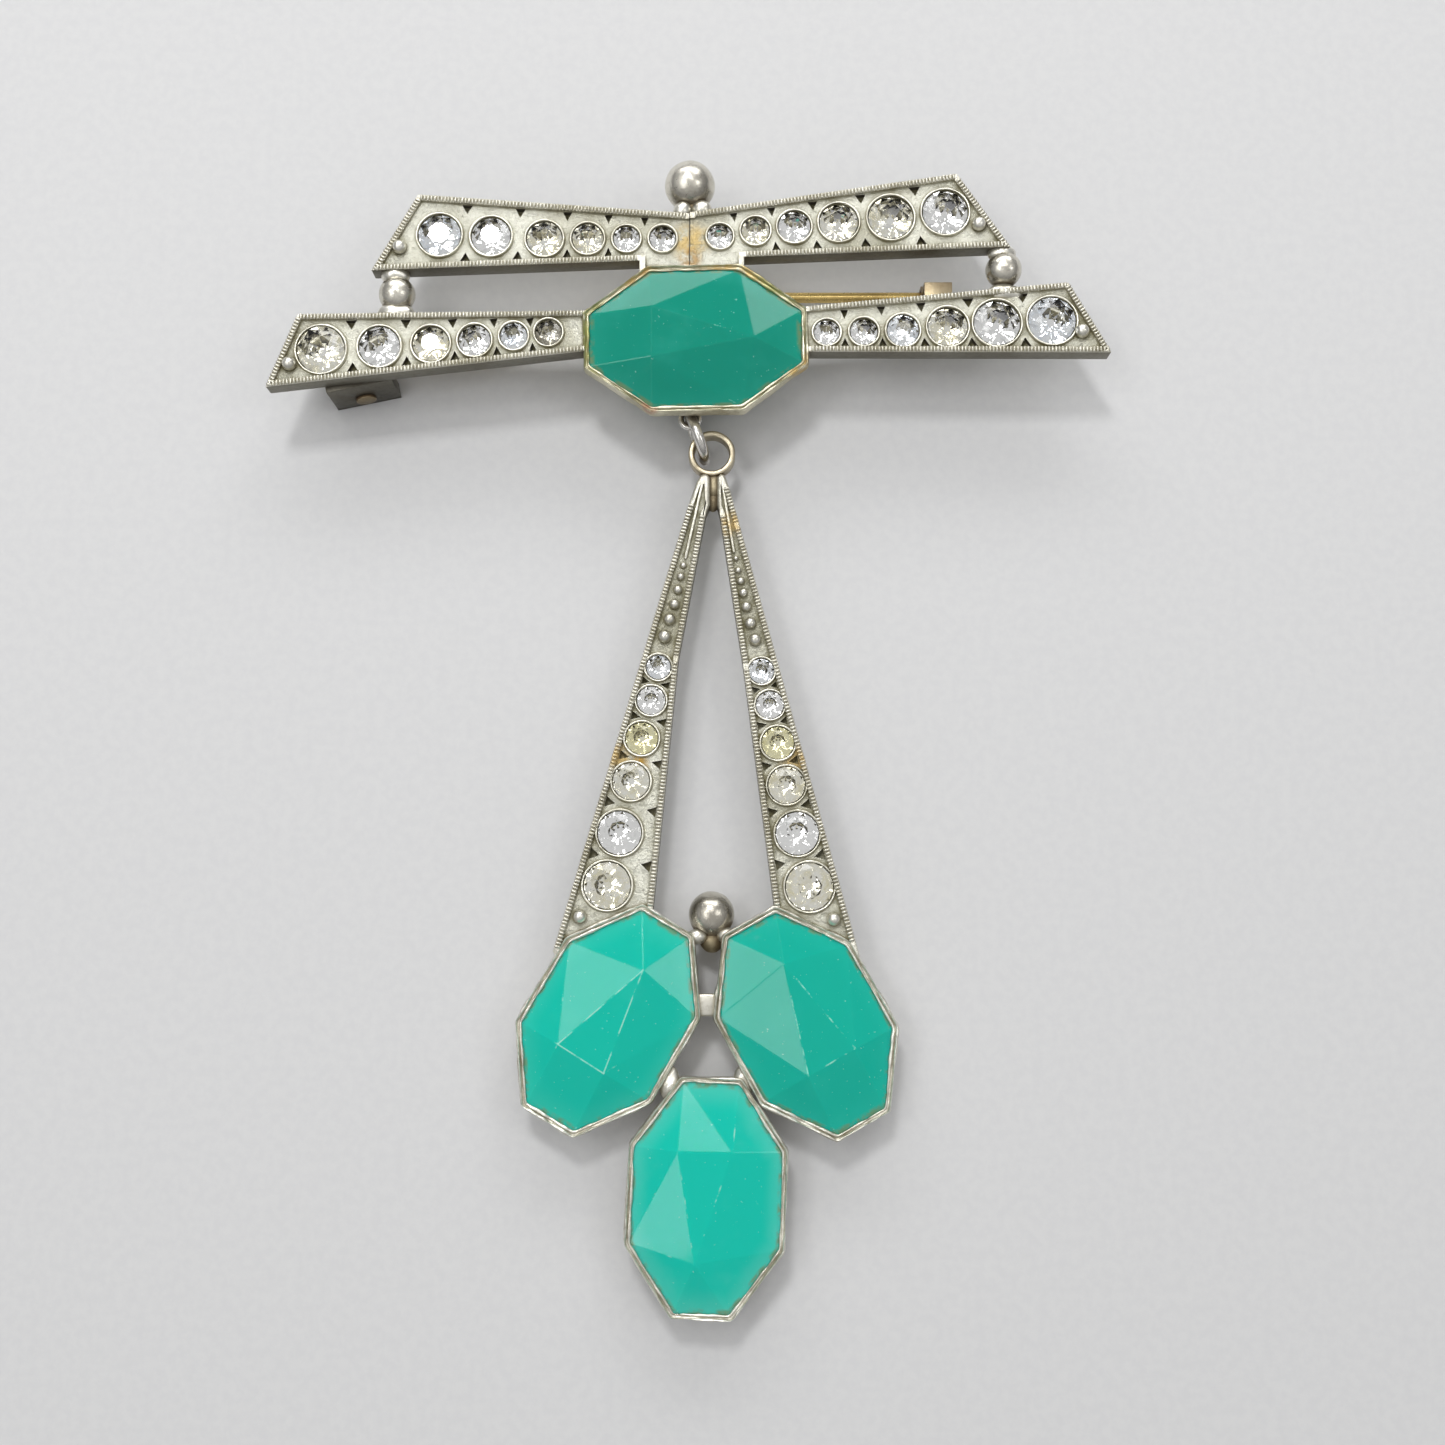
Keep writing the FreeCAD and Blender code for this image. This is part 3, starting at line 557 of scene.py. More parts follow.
def octagon_setting(side):
    """Bezel, seat and cup of one octagon, with a burnished lip."""
    setting = section_rings(side)

    def level_side(edge):
        """Whether an edge runs along one of the eight sides."""
        a, b = (setting.data.vertices[i].co for i in edge.vertices)
        return abs(a.z - b.z) < SAME_PLACE and (a - b).length > SHORTEST_SIDE * MM

    pick(setting, "EDGE", level_side)
    bpy.ops.mesh.subdivide(number_cuts=SIDE_CUTS)
    bpy.ops.object.mode_set(mode="OBJECT")
    outwards(setting)
    lip = setting.vertex_groups.new(name="lip")
    lip_floor = (SETTINGS[side]["face"] - LIP_DEPTH) * MM
    lip.add([v.index for v in setting.data.vertices if v.co.z > lip_floor], 1.0, "REPLACE")
    modify(setting, "DISPLACE", texture=burnish, strength=0.24 * MM, mid_level=0.5, vertex_group="lip")
    modify(setting, "DISPLACE", texture=dents, strength=0.26 * MM, mid_level=0.5, vertex_group="lip")
    modify(setting, "SUBSURF", levels=1, render_levels=1)
    return smooth(setting, 40)


setting_parts = {}
for side in SETTINGS:
    setting_parts[side] = [paint(octagon_setting(side), aged_bezel if side == "centre" else bezel_metal)]
print("settings:", {side: len(parts[0].data.polygons) for side, parts in setting_parts.items()})

# %% [markdown]
# ## Bridge, solder and hanger loop
# The side settings of the drop are held together by a small bridge bar, and the bottom one by two runs of
# solder. Solder is a liquid that froze, so it is a flattened ball with a lumpy skin. The hanger loop is a
# ring of wire behind the rim, with a short shank. It stands where the leaning jump ring passes through it.

# %% Bridge, solder and hanger loop
lumps = clouds("solder_lumps", 0.9)


def blob(x, y, z, size, material, lump=0.18):
    """Frozen drop of solder: a ball scaled to size, with a lumpy skin. All in millimetres."""
    deselect()
    bpy.ops.mesh.primitive_uv_sphere_add(
        segments=28, ring_count=16, radius=MM, location=(x * MM, y * MM, z * MM), scale=size)
    drop = apply_place(bpy.context.object)
    modify(drop, "DISPLACE", texture=lumps, strength=lump * MM, mid_level=0.5)
    return paint(smooth(drop, 180), material)


def bar_box(x, y, z, size, material, rounding):
    """Small bar with rounded edges."""
    deselect()
    bpy.ops.mesh.primitive_cube_add(size=MM, location=(x * MM, y * MM, z * MM), scale=size)
    piece = apply_place(bpy.context.object)
    modify(piece, "BEVEL", width=rounding * MM, segments=3, limit_method="NONE")
    return paint(smooth(piece), material)


MEETING = (RING_AT[0] - 0.35, RING_AT[1] - 46.4)
bridge = bar_box(MEETING[0], MEETING[1] + 3.5, DROP_FACE - 0.8, (2.6, 1.7, 0.8), bright_solder, 0.2)
setting_parts["drop_left"].append(bridge)
for outward in (-1, 1):
    run = blob(MEETING[0] + outward * 2.75, MEETING[1] - 2.3, DROP_FACE - 0.85, (0.75, 1.35, 0.6), bright_solder, 0.3)
    setting_parts["drop_bottom"].append(run)

LOOP_RADIUS, LOOP_WIRE, SHANK = 0.72, 0.24, 1.0
JUMP_RADIUS = 1.75
lean = math.radians(20)
jump = middle("jump_ring")
LOOP_AT = (jump.x - JUMP_RADIUS * math.sin(lean), jump.y + JUMP_RADIUS * math.cos(lean), jump.z)
deselect()
bpy.ops.mesh.primitive_torus_add(
    major_radius=LOOP_RADIUS * MM, minor_radius=LOOP_WIRE * MM, major_segments=40, minor_segments=14,
    location=[v * MM for v in LOOP_AT])
setting_parts["centre"].append(paint(smooth(apply_place(bpy.context.object), 60), ring_wire))
deselect()
bpy.ops.mesh.primitive_cylinder_add(
    radius=LOOP_WIRE * MM, depth=SHANK * MM, vertices=20, rotation=(math.pi / 2, 0, 0),
    location=(LOOP_AT[0] * MM, (LOOP_AT[1] + 1.15) * MM, LOOP_AT[2] * MM))
setting_parts["centre"].append(paint(smooth(apply_place(bpy.context.object), 60), ring_wire))
for side, parts in setting_parts.items():
    hand_over(joined(parts, side + "_bezel_cup"), SETTINGS[side]["body"], "white_metal", side + "_setting")
print("four settings in place")

# %% [markdown]
# ## Outlines of the arms
# Seen from above, an arm is a flat shape with straight sides, so it is a list of corners, measured from a
# place that the frame gives: the centre stone for the bar, and the ring for the drop. The ends that meet a
# setting run on under it and are trimmed later. A pocket is a sunk part with an outline of its own: the
# floor of each arm of the drop, and the inner ends of the two upper arms, which have no rail between them.

# %% Outlines of the arms
ARM_DEPTH, RAIL, FLOOR = 1.7, 0.45, 0.24
END_X = {"lower_left": middle("centre_stone").x - 8.78, "lower_right": middle("centre_stone").x + 8.78}
TOP_Y = middle("centre_stone").y + 5.98
MID_Y = middle("centre_stone").y


def moved(points, x, y, outward):
    """Outline of an arm at its place; outward is 1 on the right and -1 on the left."""
    return [(x + outward * px, y + py) for px, py in points]


OUTLINES = {
    "upper_left": moved([(0.02, -1), (3.9, -1), (3.9, 0.3), (24.9, -0.5), (21.4, 5.75), (0.02, 4.2)], 0, TOP_Y, -1),
    "upper_right": moved([(0.02, -1), (4.3, -1), (4.3, 0.6), (25.2, 1.45), (21.1, 7.5), (0.02, 4.3)], 0, TOP_Y, 1),
    "lower_left": moved([(-1, -1), (24.6, -4.0), (22.3, 1.9), (-1, 2.2)], END_X["lower_left"], MID_Y, -1),
    "lower_right": moved([(-1, -1.15), (23.6, -1.2), (20.4, 4.5), (-1, 2.45)], END_X["lower_right"], MID_Y, 1),
    "drop_left": moved([
        (-0.12, -2.0), (-0.42, -1.7), (-0.85, -1.8), (-1.2, -2.4), (-1.75, -4), (-11.95, -38.9), (-11, -40.5),
        (-4.6, -37.6), (-2.55, -16.45), (-0.45, -5), (-0.12, -4.3)], RING_AT[0], RING_AT[1], 1),
    "drop_right": moved([
        (0.42, -2.0), (0.42, -4.3), (0.62, -5.0), (2.45, -17.15), (4.9, -36.6), (10.6, -40.3), (11.2, -39.3),
        (2.15, -5.8), (1.3, -2.6), (1.05, -1.85), (0.72, -1.7)], RING_AT[0], RING_AT[1], 1)}
POCKETS = {
    "drop_left": moved([
        (-0.58, -2.6), (-0.92, -2.75), (-1.35, -4.12), (-11.55, -39.02), (-10.9, -40.1), (-5.02, -37.56),
        (-2.965, -16.4), (-0.863, -4.92), (-0.5, -4.2)], RING_AT[0], RING_AT[1], 1),
    "drop_right": moved([
        (0.76, -2.8), (0.78, -4.3), (1.035, -4.94), (2.866, -17.1), (5.317, -36.55), (10.2, -39.9),
        (10.795, -39.41), (1.745, -5.9), (0.98, -2.9)], RING_AT[0], RING_AT[1], 1),
    "upper_left": moved([(-0.5, 0), (0.7, 0), (0.7, 3.75), (-0.5, 3.75)], 0, TOP_Y, -1),
    "upper_right": moved([(-0.5, 0), (0.7, 0), (0.7, 3.8), (-0.5, 3.8)], 0, TOP_Y, 1)}
ARM_BODY = {name: "drop" if name.startswith("drop") else "bar" for name in OUTLINES}
ARM_FACE = {name: DROP_FACE if name.startswith("drop") else BAR_FACE for name in OUTLINES}
NEIGHBOURS = {name: ["drop_left", "drop_right"] if name.startswith("drop") else ["centre"] for name in OUTLINES}
print("corners of each arm:", {arm: len(points) for arm, points in OUTLINES.items()})

# %% [markdown]
# ## Cups and pits
# Every paste sits in a round cup cut into its arm, a little deeper than the gem's cone. Between two
# neighbouring pastes and the rail there is a small triangular pit, which makes a row of settings look like
# openwork. Both are cut with solids: a cup is a cylinder, and a pit is a prism on three corners, as long as
# the room between the pastes and the rail allows.

# %% Cups and pits
PAVILION = 0.38
CUP_PLAY = 0.1
PIT_DEPTH, PIT_LENGTH, SHORTEST_PIT = 0.75, 0.75, 0.12


def pastes_of(arm):
    """Middle and diameter of each paste of an arm, from its nodes, in millimetres."""
    found = []
    for number in range(1, 7):
        low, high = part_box(arm + "_paste_" + str(number))
        found.append(((low.x + high.x) / 2 / MM, (low.y + high.y) / 2 / MM, (high.x - low.x) / MM))
    return found


def outline_solid(points, low, high):
    """Closed prism on an outline."""
    piece = loop_of(points, high)
    edit_all(piece)
    bpy.ops.mesh.edge_face_add()
    bpy.ops.mesh.extrude_region_move(TRANSFORM_OT_translate={"value": (0, 0, (low - high) * MM)})
    bpy.ops.object.mode_set(mode="OBJECT")
    return outwards(piece)


def cup(x, y, diameter, face):
    """What a paste's cup takes out of the casting."""
    depth = CUP_PLAY + PAVILION * diameter
    deselect()
    bpy.ops.mesh.primitive_cylinder_add(
        vertices=32, radius=(diameter / 2 + CUP_PLAY) * MM, depth=depth * MM,
        location=(x * MM, y * MM, (face - 0.12 - depth / 2) * MM))
    return apply_place(bpy.context.object)


def cut_away(piece, cutters):
    """Boolean difference with some solids that don't touch each other."""
    cutter = joined(cutters, "cutter")
    modify(piece, "BOOLEAN", object=cutter, operation="DIFFERENCE", solver="MANIFOLD")
    bpy.data.objects.remove(cutter)


def room(start, heading, corners):
    """Distance from a point to an outline in one direction."""
    found = []
    for a, b in zip(corners, corners[1:] + corners[:1]):
        edge = Vector(b) - Vector(a)
        share = heading.x * edge.y - heading.y * edge.x
        if abs(share) > 1e-9:
            gap = Vector(a) - start
            far = (gap.x * edge.y - gap.y * edge.x) / share
            along = (gap.x * heading.y - gap.y * heading.x) / share
            if far > 0 and 0 <= along <= 1:
                found.append(far)
    return min(found)


def pits(arm):
    """Small triangular pits between neighbouring collets and the rails."""
    face = ARM_FACE[arm]
    places = pastes_of(arm)
    found = []
    for first, second in zip(places, places[1:]):
        a, b = Vector(first[:2]), Vector(second[:2])
        along = (b - a).normalized()
        touch = a + along * (first[2] / 2 + ((b - a).length - first[2] / 2 - second[2] / 2) / 2)
        size = (first[2] + second[2]) / 4
        for across in (Vector((-along.y, along.x)), Vector((along.y, -along.x))):
            reach = room(touch, across, OUTLINES[arm]) - RAIL - 0.06
            apex = max(size * 0.44, reach - PIT_LENGTH)
            if reach - apex > SHORTEST_PIT:
                half = 0.12 + 0.2 * size
                base = touch + across * reach
                corners = [touch + across * apex, base + along * half, base - along * half]
                found.append(outline_solid([tuple(c) for c in corners], face - PIT_DEPTH, face - 0.1))
    return found


print("pastes of each arm:", {arm: len(pastes_of(arm)) for arm in OUTLINES})

# %% [markdown]
# ## Cast arms
# Each arm is a casting with a raised rail round a sunk floor. The outline becomes a solid by extrusion. On
# the bar, an inset on its top face draws the rail, and the face inside goes down to the floor. The arms of
# the drop are too narrow at the top for an even rail, so a bevel rounds their tops and a boolean sinks the
# pocket. A small bevel rounds all edges, and booleans then take away what the settings occupy, the cups and
# the pits. At the end each face gets one of three metals by its place: rail, wall or floor.

# %% Cast arms
ROUNDED_TOP, TOP_ROUNDING = 5.3, 0.3
EDGE_ROUNDING = 0.09


def arm_casting(arm):
    """Rail, sunk floor and walls of one arm."""
    face = ARM_FACE[arm]
    casting = outline_solid(OUTLINES[arm], face - ARM_DEPTH, face)

    def near_ring(edge):
        """Whether an edge is on the face of the casting, close to the ring."""
        ends = [casting.data.vertices[i].co for i in edge.vertices]
        return all(v.z > (face - 0.1) * MM and v.y > (RING_AT[1] - ROUNDED_TOP) * MM for v in ends)

    if arm.startswith("drop"):
        pick(casting, "EDGE", near_ring)
        bpy.ops.mesh.bevel(offset=TOP_ROUNDING * MM, segments=4)
    else:
        pick(casting, "FACE", lambda f: f.normal.z > 0.9)
        bpy.ops.mesh.inset(thickness=RAIL * MM, use_even_offset=True)
        bpy.ops.mesh.extrude_region_move(TRANSFORM_OT_translate={"value": (0, 0, -FLOOR * MM)})
    bpy.ops.object.mode_set(mode="OBJECT")
    if arm in POCKETS:
        cut_away(casting, [outline_solid(POCKETS[arm], face - FLOOR, face + 1)])
    modify(
        casting, "BEVEL", width=EDGE_ROUNDING * MM, segments=2, limit_method="ANGLE",
        angle_limit=math.radians(30))
    for side in NEIGHBOURS[arm]:
        cut_away(casting, [outline_solid(in_place(octagon(RIM + 0.1), side), -1, face + 2)])
    cut_away(casting, [cup(x, y, diameter, face) for x, y, diameter in pastes_of(arm)])
    cut_away(casting, pits(arm))
    paint(smooth(casting, 35), silver, shaded_wall_metal, floor_metal)
    for polygon in casting.data.polygons:
        # Steep faces below the floor are walls, and they take the nearly black metal that paints their shade.
        wall = abs(polygon.normal.z) < 0.2 and polygon.center.z < (face - FLOOR) * MM
        sunk = polygon.normal.z > 0.5 and polygon.center.z < (face - FLOOR * 0.9) * MM
        polygon.material_index = 1 if wall else 2 if sunk else 0
    return casting


castings = {arm: arm_casting(arm) for arm in OUTLINES}
print("castings:", {arm: len(piece.data.polygons) for arm, piece in castings.items()})

# %% [markdown]
# ## Collets
# Each round paste sits in a collet, a thin tube whose lip is rolled over the stone. A tube is a cylinder
# without ends, widened at its foot, given its wall by Solidify and its rolled lip by a bevel. A little
# displacement keeps it from looking machined. Its lip is rubbed by every cloth, so it has a brighter metal
# than the casting.

# %% Collets
COLLET_WALL, COLLET_LIP, COLLET_FOOT = 0.14, 0.055, 0.09
collet_dents = clouds("collet_dents", 1.1)


def collet(x, y, diameter, face):
    """Collet of one paste."""
    deselect()
    outer = diameter / 2 + 0.25
    height = FLOOR + 0.1
    bpy.ops.mesh.primitive_cone_add(
        vertices=40, radius1=(outer + COLLET_FOOT) * MM, radius2=outer * MM, depth=height * MM,
        end_fill_type="NOTHING", location=(x * MM, y * MM, (face + 0.03 - height / 2) * MM))
    tube = apply_place(bpy.context.object)
    modify(tube, "SOLIDIFY", thickness=COLLET_WALL * MM, offset=-1)
    outwards(tube)
    modify(tube, "BEVEL", width=COLLET_LIP * MM, segments=3, limit_method="ANGLE", angle_limit=math.radians(40))
    modify(tube, "DISPLACE", texture=collet_dents, strength=0.1 * MM, mid_level=0.5)
    return paint(smooth(tube, 50), collet_metal)


arm_parts = {arm: [piece] for arm, piece in castings.items()}
for arm, parts in arm_parts.items():
    for x, y, diameter in pastes_of(arm):
        parts.append(collet(x, y, diameter, ARM_FACE[arm]))
print("collets:", sum(len(parts) - 1 for parts in arm_parts.values()))

# %% [markdown]
# ## Milgrain
# Milgrain is the row of tiny beads that a knurled wheel presses along a rail. One bead is modelled, a short
# rod with rounded ends that lies across the rail, and an array modifier repeats it along each straight run.
# With hundreds of beads, each has only 26 faces. Runs stop where the arm meets a bezel or the ring.

# %% Milgrain
PITCH, BEAD_RADIUS, BEAD_LENGTH, BEAD_ROUNDING = 0.27, 0.115, 0.5, 0.08
BEAD_FACES = 26


def inside(x, y, corners):
    """Whether a point is inside a convex outline."""
    signs = []
    for (ax, ay), (bx, by) in zip(corners, corners[1:] + corners[:1]):
        signs.append((bx - ax) * (y - ay) - (by - ay) * (x - ax))
    return all(s > 0 for s in signs) or all(s < 0 for s in signs)


def bead_run(start, end, clockwise, face, avoid):
    """Row of milgrain beads along one edge of an outline, or None if it would be too short."""
    along = (Vector(end) - Vector(start)).normalized()
    inward = Vector((along.y, -along.x)) * (1 if clockwise else -1)
    first = Vector(start) + inward * RAIL * 0.5
    length = (Vector(end) - Vector(start)).length - 0.3
    spots = [first + along * (0.15 + PITCH * (i + 0.5)) for i in range(int(length / PITCH))]
    spots = [s for s in spots if not any(inside(s.x, s.y, corners) for corners in avoid)]
    if len(spots) < 3:
        return None
    deselect()
    bpy.ops.mesh.primitive_cylinder_add(
        vertices=8, radius=BEAD_RADIUS * MM, depth=BEAD_LENGTH * MM,
        location=(spots[0].x * MM, spots[0].y * MM, face * MM),
        rotation=(math.pi / 2, 0, math.atan2(along.y, along.x)))
    run = apply_place(bpy.context.object)
    modify(
        run, "BEVEL", width=BEAD_ROUNDING * MM, segments=1, limit_method="ANGLE", angle_limit=math.radians(60))
    offset = (along.x * PITCH * MM, along.y * PITCH * MM, 0)
    modify(
        run, "ARRAY", count=len(spots), use_relative_offset=False, use_constant_offset=True,
        constant_offset_displace=offset)
    return paint(smooth(run, 60), silver)


def signed_area(points):
    """Positive if the outline runs anticlockwise."""
    return sum(a[0] * b[1] - b[0] * a[1] for a, b in zip(points, points[1:] + points[:1])) / 2


RING_REACH = 1.95
ring_disc = [
    (RING_AT[0] + RING_REACH * math.cos(k * math.pi / 8), RING_AT[1] + RING_REACH * math.sin(k * math.pi / 8))
    for k in range(16)]
beads = 0
for arm, parts in arm_parts.items():
    corners = OUTLINES[arm]
    avoid = [in_place(octagon(RIM - 0.1), side) for side in NEIGHBOURS[arm]] + [ring_disc]
    clockwise = signed_area(corners) < 0
    for start, end in zip(corners, corners[1:] + corners[:1]):
        seam = arm.startswith("upper") and max(abs(start[0]), abs(end[0])) < 0.1
        rounded = arm.startswith("drop") and min(start[1], end[1]) > RING_AT[1] - 5.2
        run = None if seam or rounded else bead_run(start, end, clockwise, ARM_FACE[arm], avoid)
        if run:
            beads += len(run.data.polygons) // BEAD_FACES
            parts.append(run)
print("milgrain beads:", beads)

# %% [markdown]
# ## Grains and the drop's channel
# Each pointed tip holds one grain, a ball of metal, and the narrow top of each arm of the drop holds a row of
# grains that grow towards the first paste. Above them a fine ridge runs up the middle of the channel. Each
# grain is a middle and a diameter, on the drop measured from the ring.

# %% Grains and the drop's channel
RIDGE_WIDTH, RIDGE_HEIGHT = 0.2, 0.3
TIP_GRAINS = {
    "upper_left": [(-22.75, TOP_Y + 1.4, 1.1)], "upper_right": [(22.75, TOP_Y + 3.3, 1.1)],
    "lower_left": [(END_X["lower_left"] - 22.8, MID_Y - 2.15, 1.1)],
    "lower_right": [(END_X["lower_right"] + 21.35, MID_Y + 0.5, 1.1)],
    "drop_left": [
        (-2.2, -9.1, 0.5), (-2.4, -10.0, 0.6), (-2.62, -11.05, 0.7), (-2.87, -12.2, 0.8), (-3.25, -13.4, 0.9),
        (-3.62, -14.75, 1.0), (-9.95, -36.3, 1.0)],
    "drop_right": [
        (1.9, -8.55, 0.4), (2.08, -9.5, 0.5), (2.27, -10.35, 0.6), (2.47, -11.3, 0.7), (2.7, -12.4, 0.8),
        (3.0, -13.7, 0.9), (3.37, -15.0, 0.95), (9.25, -36.5, 1.0)]}


def grain(x, y, diameter, face):
    """One ball of metal raised from the floor."""
    deselect()
    bpy.ops.mesh.primitive_uv_sphere_add(
        segments=24, ring_count=14, radius=diameter / 2 * MM,
        location=(x * MM, y * MM, (face - FLOOR + diameter / 4) * MM))
    return paint(smooth(apply_place(bpy.context.object), 180), bright_solder)


for arm, grains in TIP_GRAINS.items():
    shift = RING_AT if arm.startswith("drop") else (0, 0)
    for x, y, diameter in grains:
        arm_parts[arm].append(grain(x + shift[0], y + shift[1], diameter, ARM_FACE[arm]))


def ridge(start, end, face):
    """Fine straight ridge on the floor of an arm."""
    a, b = Vector(start), Vector(end)
    centre = (a + b) / 2
    deselect()
    bpy.ops.mesh.primitive_cube_add(
        size=MM, location=(centre.x * MM, centre.y * MM, (face - FLOOR + 0.08) * MM),
        scale=((b - a).length, RIDGE_WIDTH, RIDGE_HEIGHT), rotation=(0, 0, math.atan2(b.y - a.y, b.x - a.x)))
    piece = apply_place(bpy.context.object)
    modify(piece, "BEVEL", width=0.06 * MM, segments=2, limit_method="NONE")
    return paint(smooth(piece), silver)


for arm, start, end in (("drop_left", (-0.75, -2.6), (-2.05, -8.6)), ("drop_right", (0.85, -2.6), (1.75, -8.1))):
    a, b = moved([start, end], RING_AT[0], RING_AT[1], 1)
    arm_parts[arm].append(ridge(a, b, DROP_FACE))
for arm, parts in arm_parts.items():
    piece = joined(parts, arm + "_cast_arm")
    hand_over(piece, ARM_BODY[arm], "white_metal", arm + "_arm")

# %% [markdown]
# ## Solder between the tops of the drop's arms
# The two arms meet under the ring in a small valley that solder has filled. A low web lies between them,
# lower than their faces, and brown from the torch.

# %% Solder between the tops of the drop's arms
web = [
    blob(RING_AT[0] + 0.15, RING_AT[1] - 2.6, DROP_FACE - 0.95, (0.75, 1.1, 0.6), solder, 0.1),
    blob(RING_AT[0] + 0.1, RING_AT[1] - 3.6, DROP_FACE - 1.05, (0.6, 1.0, 0.5), solder, 0.1)]
hand_over(joined(web, "valley_solder"), "drop", "white_metal")
print("solder in the valley:", len(web), "lumps")

# %% [markdown]
# ## Balls and their collars
# The balls are soldered between the arms with small collars. Each ball is a sphere with faint dents, and each
# collar is a flattened lump of solder. The finial stands on the upper arms, a link ball joins the two arms on
# each side, and the last one fills the gap between the settings of the drop.

# %% Balls and their collars
ball_dents = clouds("ball_dents", 2.2)


def polished_ball(x, y, z, diameter):
    """Ball with faint dents."""
    deselect()
    bpy.ops.mesh.primitive_uv_sphere_add(
        segments=64, ring_count=40, radius=diameter / 2 * MM, location=(x * MM, y * MM, z * MM))
    ball = apply_place(bpy.context.object)
    modify(ball, "DISPLACE", texture=ball_dents, strength=0.12 * MM, mid_level=0.5)
    return paint(smooth(ball, 180), nickel)


finial_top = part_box("finial_ball")[1].y / MM
finial_y = finial_top - 2.0
finial = [
    polished_ball(0, finial_y, BAR_FACE - 1.2, 3.95),
    blob(-0.55, finial_y - 2.35, BAR_FACE - 0.55, (0.75, 0.75, 0.7), bright_solder, 0.12),
    blob(0.95, finial_y - 2.3, BAR_FACE - 0.55, (0.8, 0.75, 0.7), bright_solder, 0.12),
    blob(0.2, finial_y - 1.9, BAR_FACE - 1.3, (1.1, 0.9, 0.8), solder, 0.12)]
hand_over(joined(finial, "finial"), "bar", "white_metal", "finial_ball")
LINKS = (
    ("left", middle("left_link_ball").x, TOP_Y - 0.43, MID_Y + 2.0),
    ("right", middle("right_link_ball").x, TOP_Y + 1.4, MID_Y + 3.6))
for side, x, upper_foot, lower_head in LINKS:
    low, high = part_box(side + "_link_ball")
    y = (low.y + high.y) / 2 / MM
    parts = [
        polished_ball(x, y, BAR_FACE - 0.9, 2.85),
        blob(x - 0.12, upper_foot - 0.25, BAR_FACE - 0.8, (1.12, 0.7, 0.75), bright_solder, 0.2),
        blob(x, lower_head + 0.2, BAR_FACE - 0.75, (1.5, 0.8, 0.8), bright_solder, 0.2)]
    hand_over(joined(parts, side + "_link"), "bar", "white_metal", side + "_link_ball")
low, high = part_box("drop_ball")
drop_ball_x = (low.x + high.x) / 2 / MM
drop_ball_y = RING_AT[1] - 36.1
parts = [
    polished_ball(drop_ball_x, drop_ball_y, DROP_FACE - 1.5, 3.5),
    blob(drop_ball_x - 1.1, drop_ball_y - 1.7, DROP_FACE - 0.9, (0.75, 0.6, 0.6), bright_solder),
    blob(drop_ball_x + 1.2, drop_ball_y - 1.6, DROP_FACE - 0.9, (0.8, 0.6, 0.6), bright_solder),
    blob(drop_ball_x, drop_ball_y - 2.0, DROP_FACE - 1.6, (0.9, 0.9, 0.9), solder)]
hand_over(joined(parts, "drop_centre_ball"), "drop", "white_metal", "drop_ball")
print("balls in place")

# %% [markdown]
# ## Pin fitting and rings
# The fittings behind the bar, the pin, its rivet and the jump ring are simple metalwork whose CAD shape is
# right. A copy of each is merged, its coplanar triangles are dissolved, and a bevel breaks its edges, so that
# light catches on them. The copy then stands for its node. The drop ring is a short tube with rolled rims.

# %% Pin fitting and rings
RING_OUTER, RING_WALL, RING_DEPTH = 1.85, 0.475, 1.3


def softened(node, width):
    """Copy of a node with its doubles merged and its edges broken."""
    copy = nodes[node].copy()
    copy.data = nodes[node].data.copy()
    copy.parent = None
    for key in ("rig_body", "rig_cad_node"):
        if key in copy:
            del copy[key]
    bpy.context.scene.collection.objects.link(copy)
    edit_all(copy)
    bpy.ops.mesh.remove_doubles(threshold=0.001 * MM)
    bpy.ops.mesh.dissolve_limited(angle_limit=math.radians(0.1))
    bpy.ops.object.mode_set(mode="OBJECT")
    if width:
        modify(copy, "BEVEL", width=width * MM, segments=2, limit_method="ANGLE", angle_limit=math.radians(40))
    return smooth(copy)


# The hinge block, catch and rivet take the dark metals that paint the shade under the bar.
FITTINGS = [
    ("hinge_block", "bar", "white_metal", 0.1, shadow_dark_fitting), ("catch", "bar", "white_metal", 0.05, shaded_brown_fitting),
    ("pin_stem", "pin", "brass", 0.03, brass), ("hinge_rivet", "bar", "brass", 0.05, shaded_brown_fitting),
    ("jump_ring", "ring", "white_metal", 0, ring_wire)]
for node, body, slot, width, material in FITTINGS:
    piece = paint(softened(node, width), material)
    hand_over(joined([piece], node + "_metalwork"), body, slot, node)
deselect()
bpy.ops.mesh.primitive_cylinder_add(
    vertices=72, radius=RING_OUTER * MM, depth=RING_DEPTH * MM, end_fill_type="NOTHING",
    location=[v * MM for v in ring_middle])
tube = apply_place(bpy.context.object)
modify(tube, "SOLIDIFY", thickness=RING_WALL * MM, offset=-1)
outwards(tube)
modify(tube, "BEVEL", width=0.16 * MM, segments=4, limit_method="ANGLE", angle_limit=math.radians(40))
modify(tube, "DISPLACE", texture=ball_dents, strength=0.08 * MM, mid_level=0.5)
hand_over(joined([paint(smooth(tube, 50), old_ring)], "drop_ring_tube"), "drop", "white_metal", "drop_ring")
print("fittings in place")

# %% [markdown]
# ## Cut of a paste
# A paste is a brilliant cut. Its facets are found the easy way: rings of points are placed where facets meet,
# and the convex hull operator joins them with flat faces. Each ring is a count, a radius, a height and a
# turn, for a gem of unit diameter whose girdle is at zero: table, crown, girdle twice, cone and culet. The
# faces under the girdle take the second material.

# %% Cut of a paste
FACET_RINGS = (
    (8, 0.26, 0.15, 0), (8, 0.40, 0.085, 22.5), (16, 0.5, 0.0, 0),
    (16, 0.5, -0.04, 0), (8, 0.3, -0.22, 22.5), (8, 0.09, -PAVILION, 0))


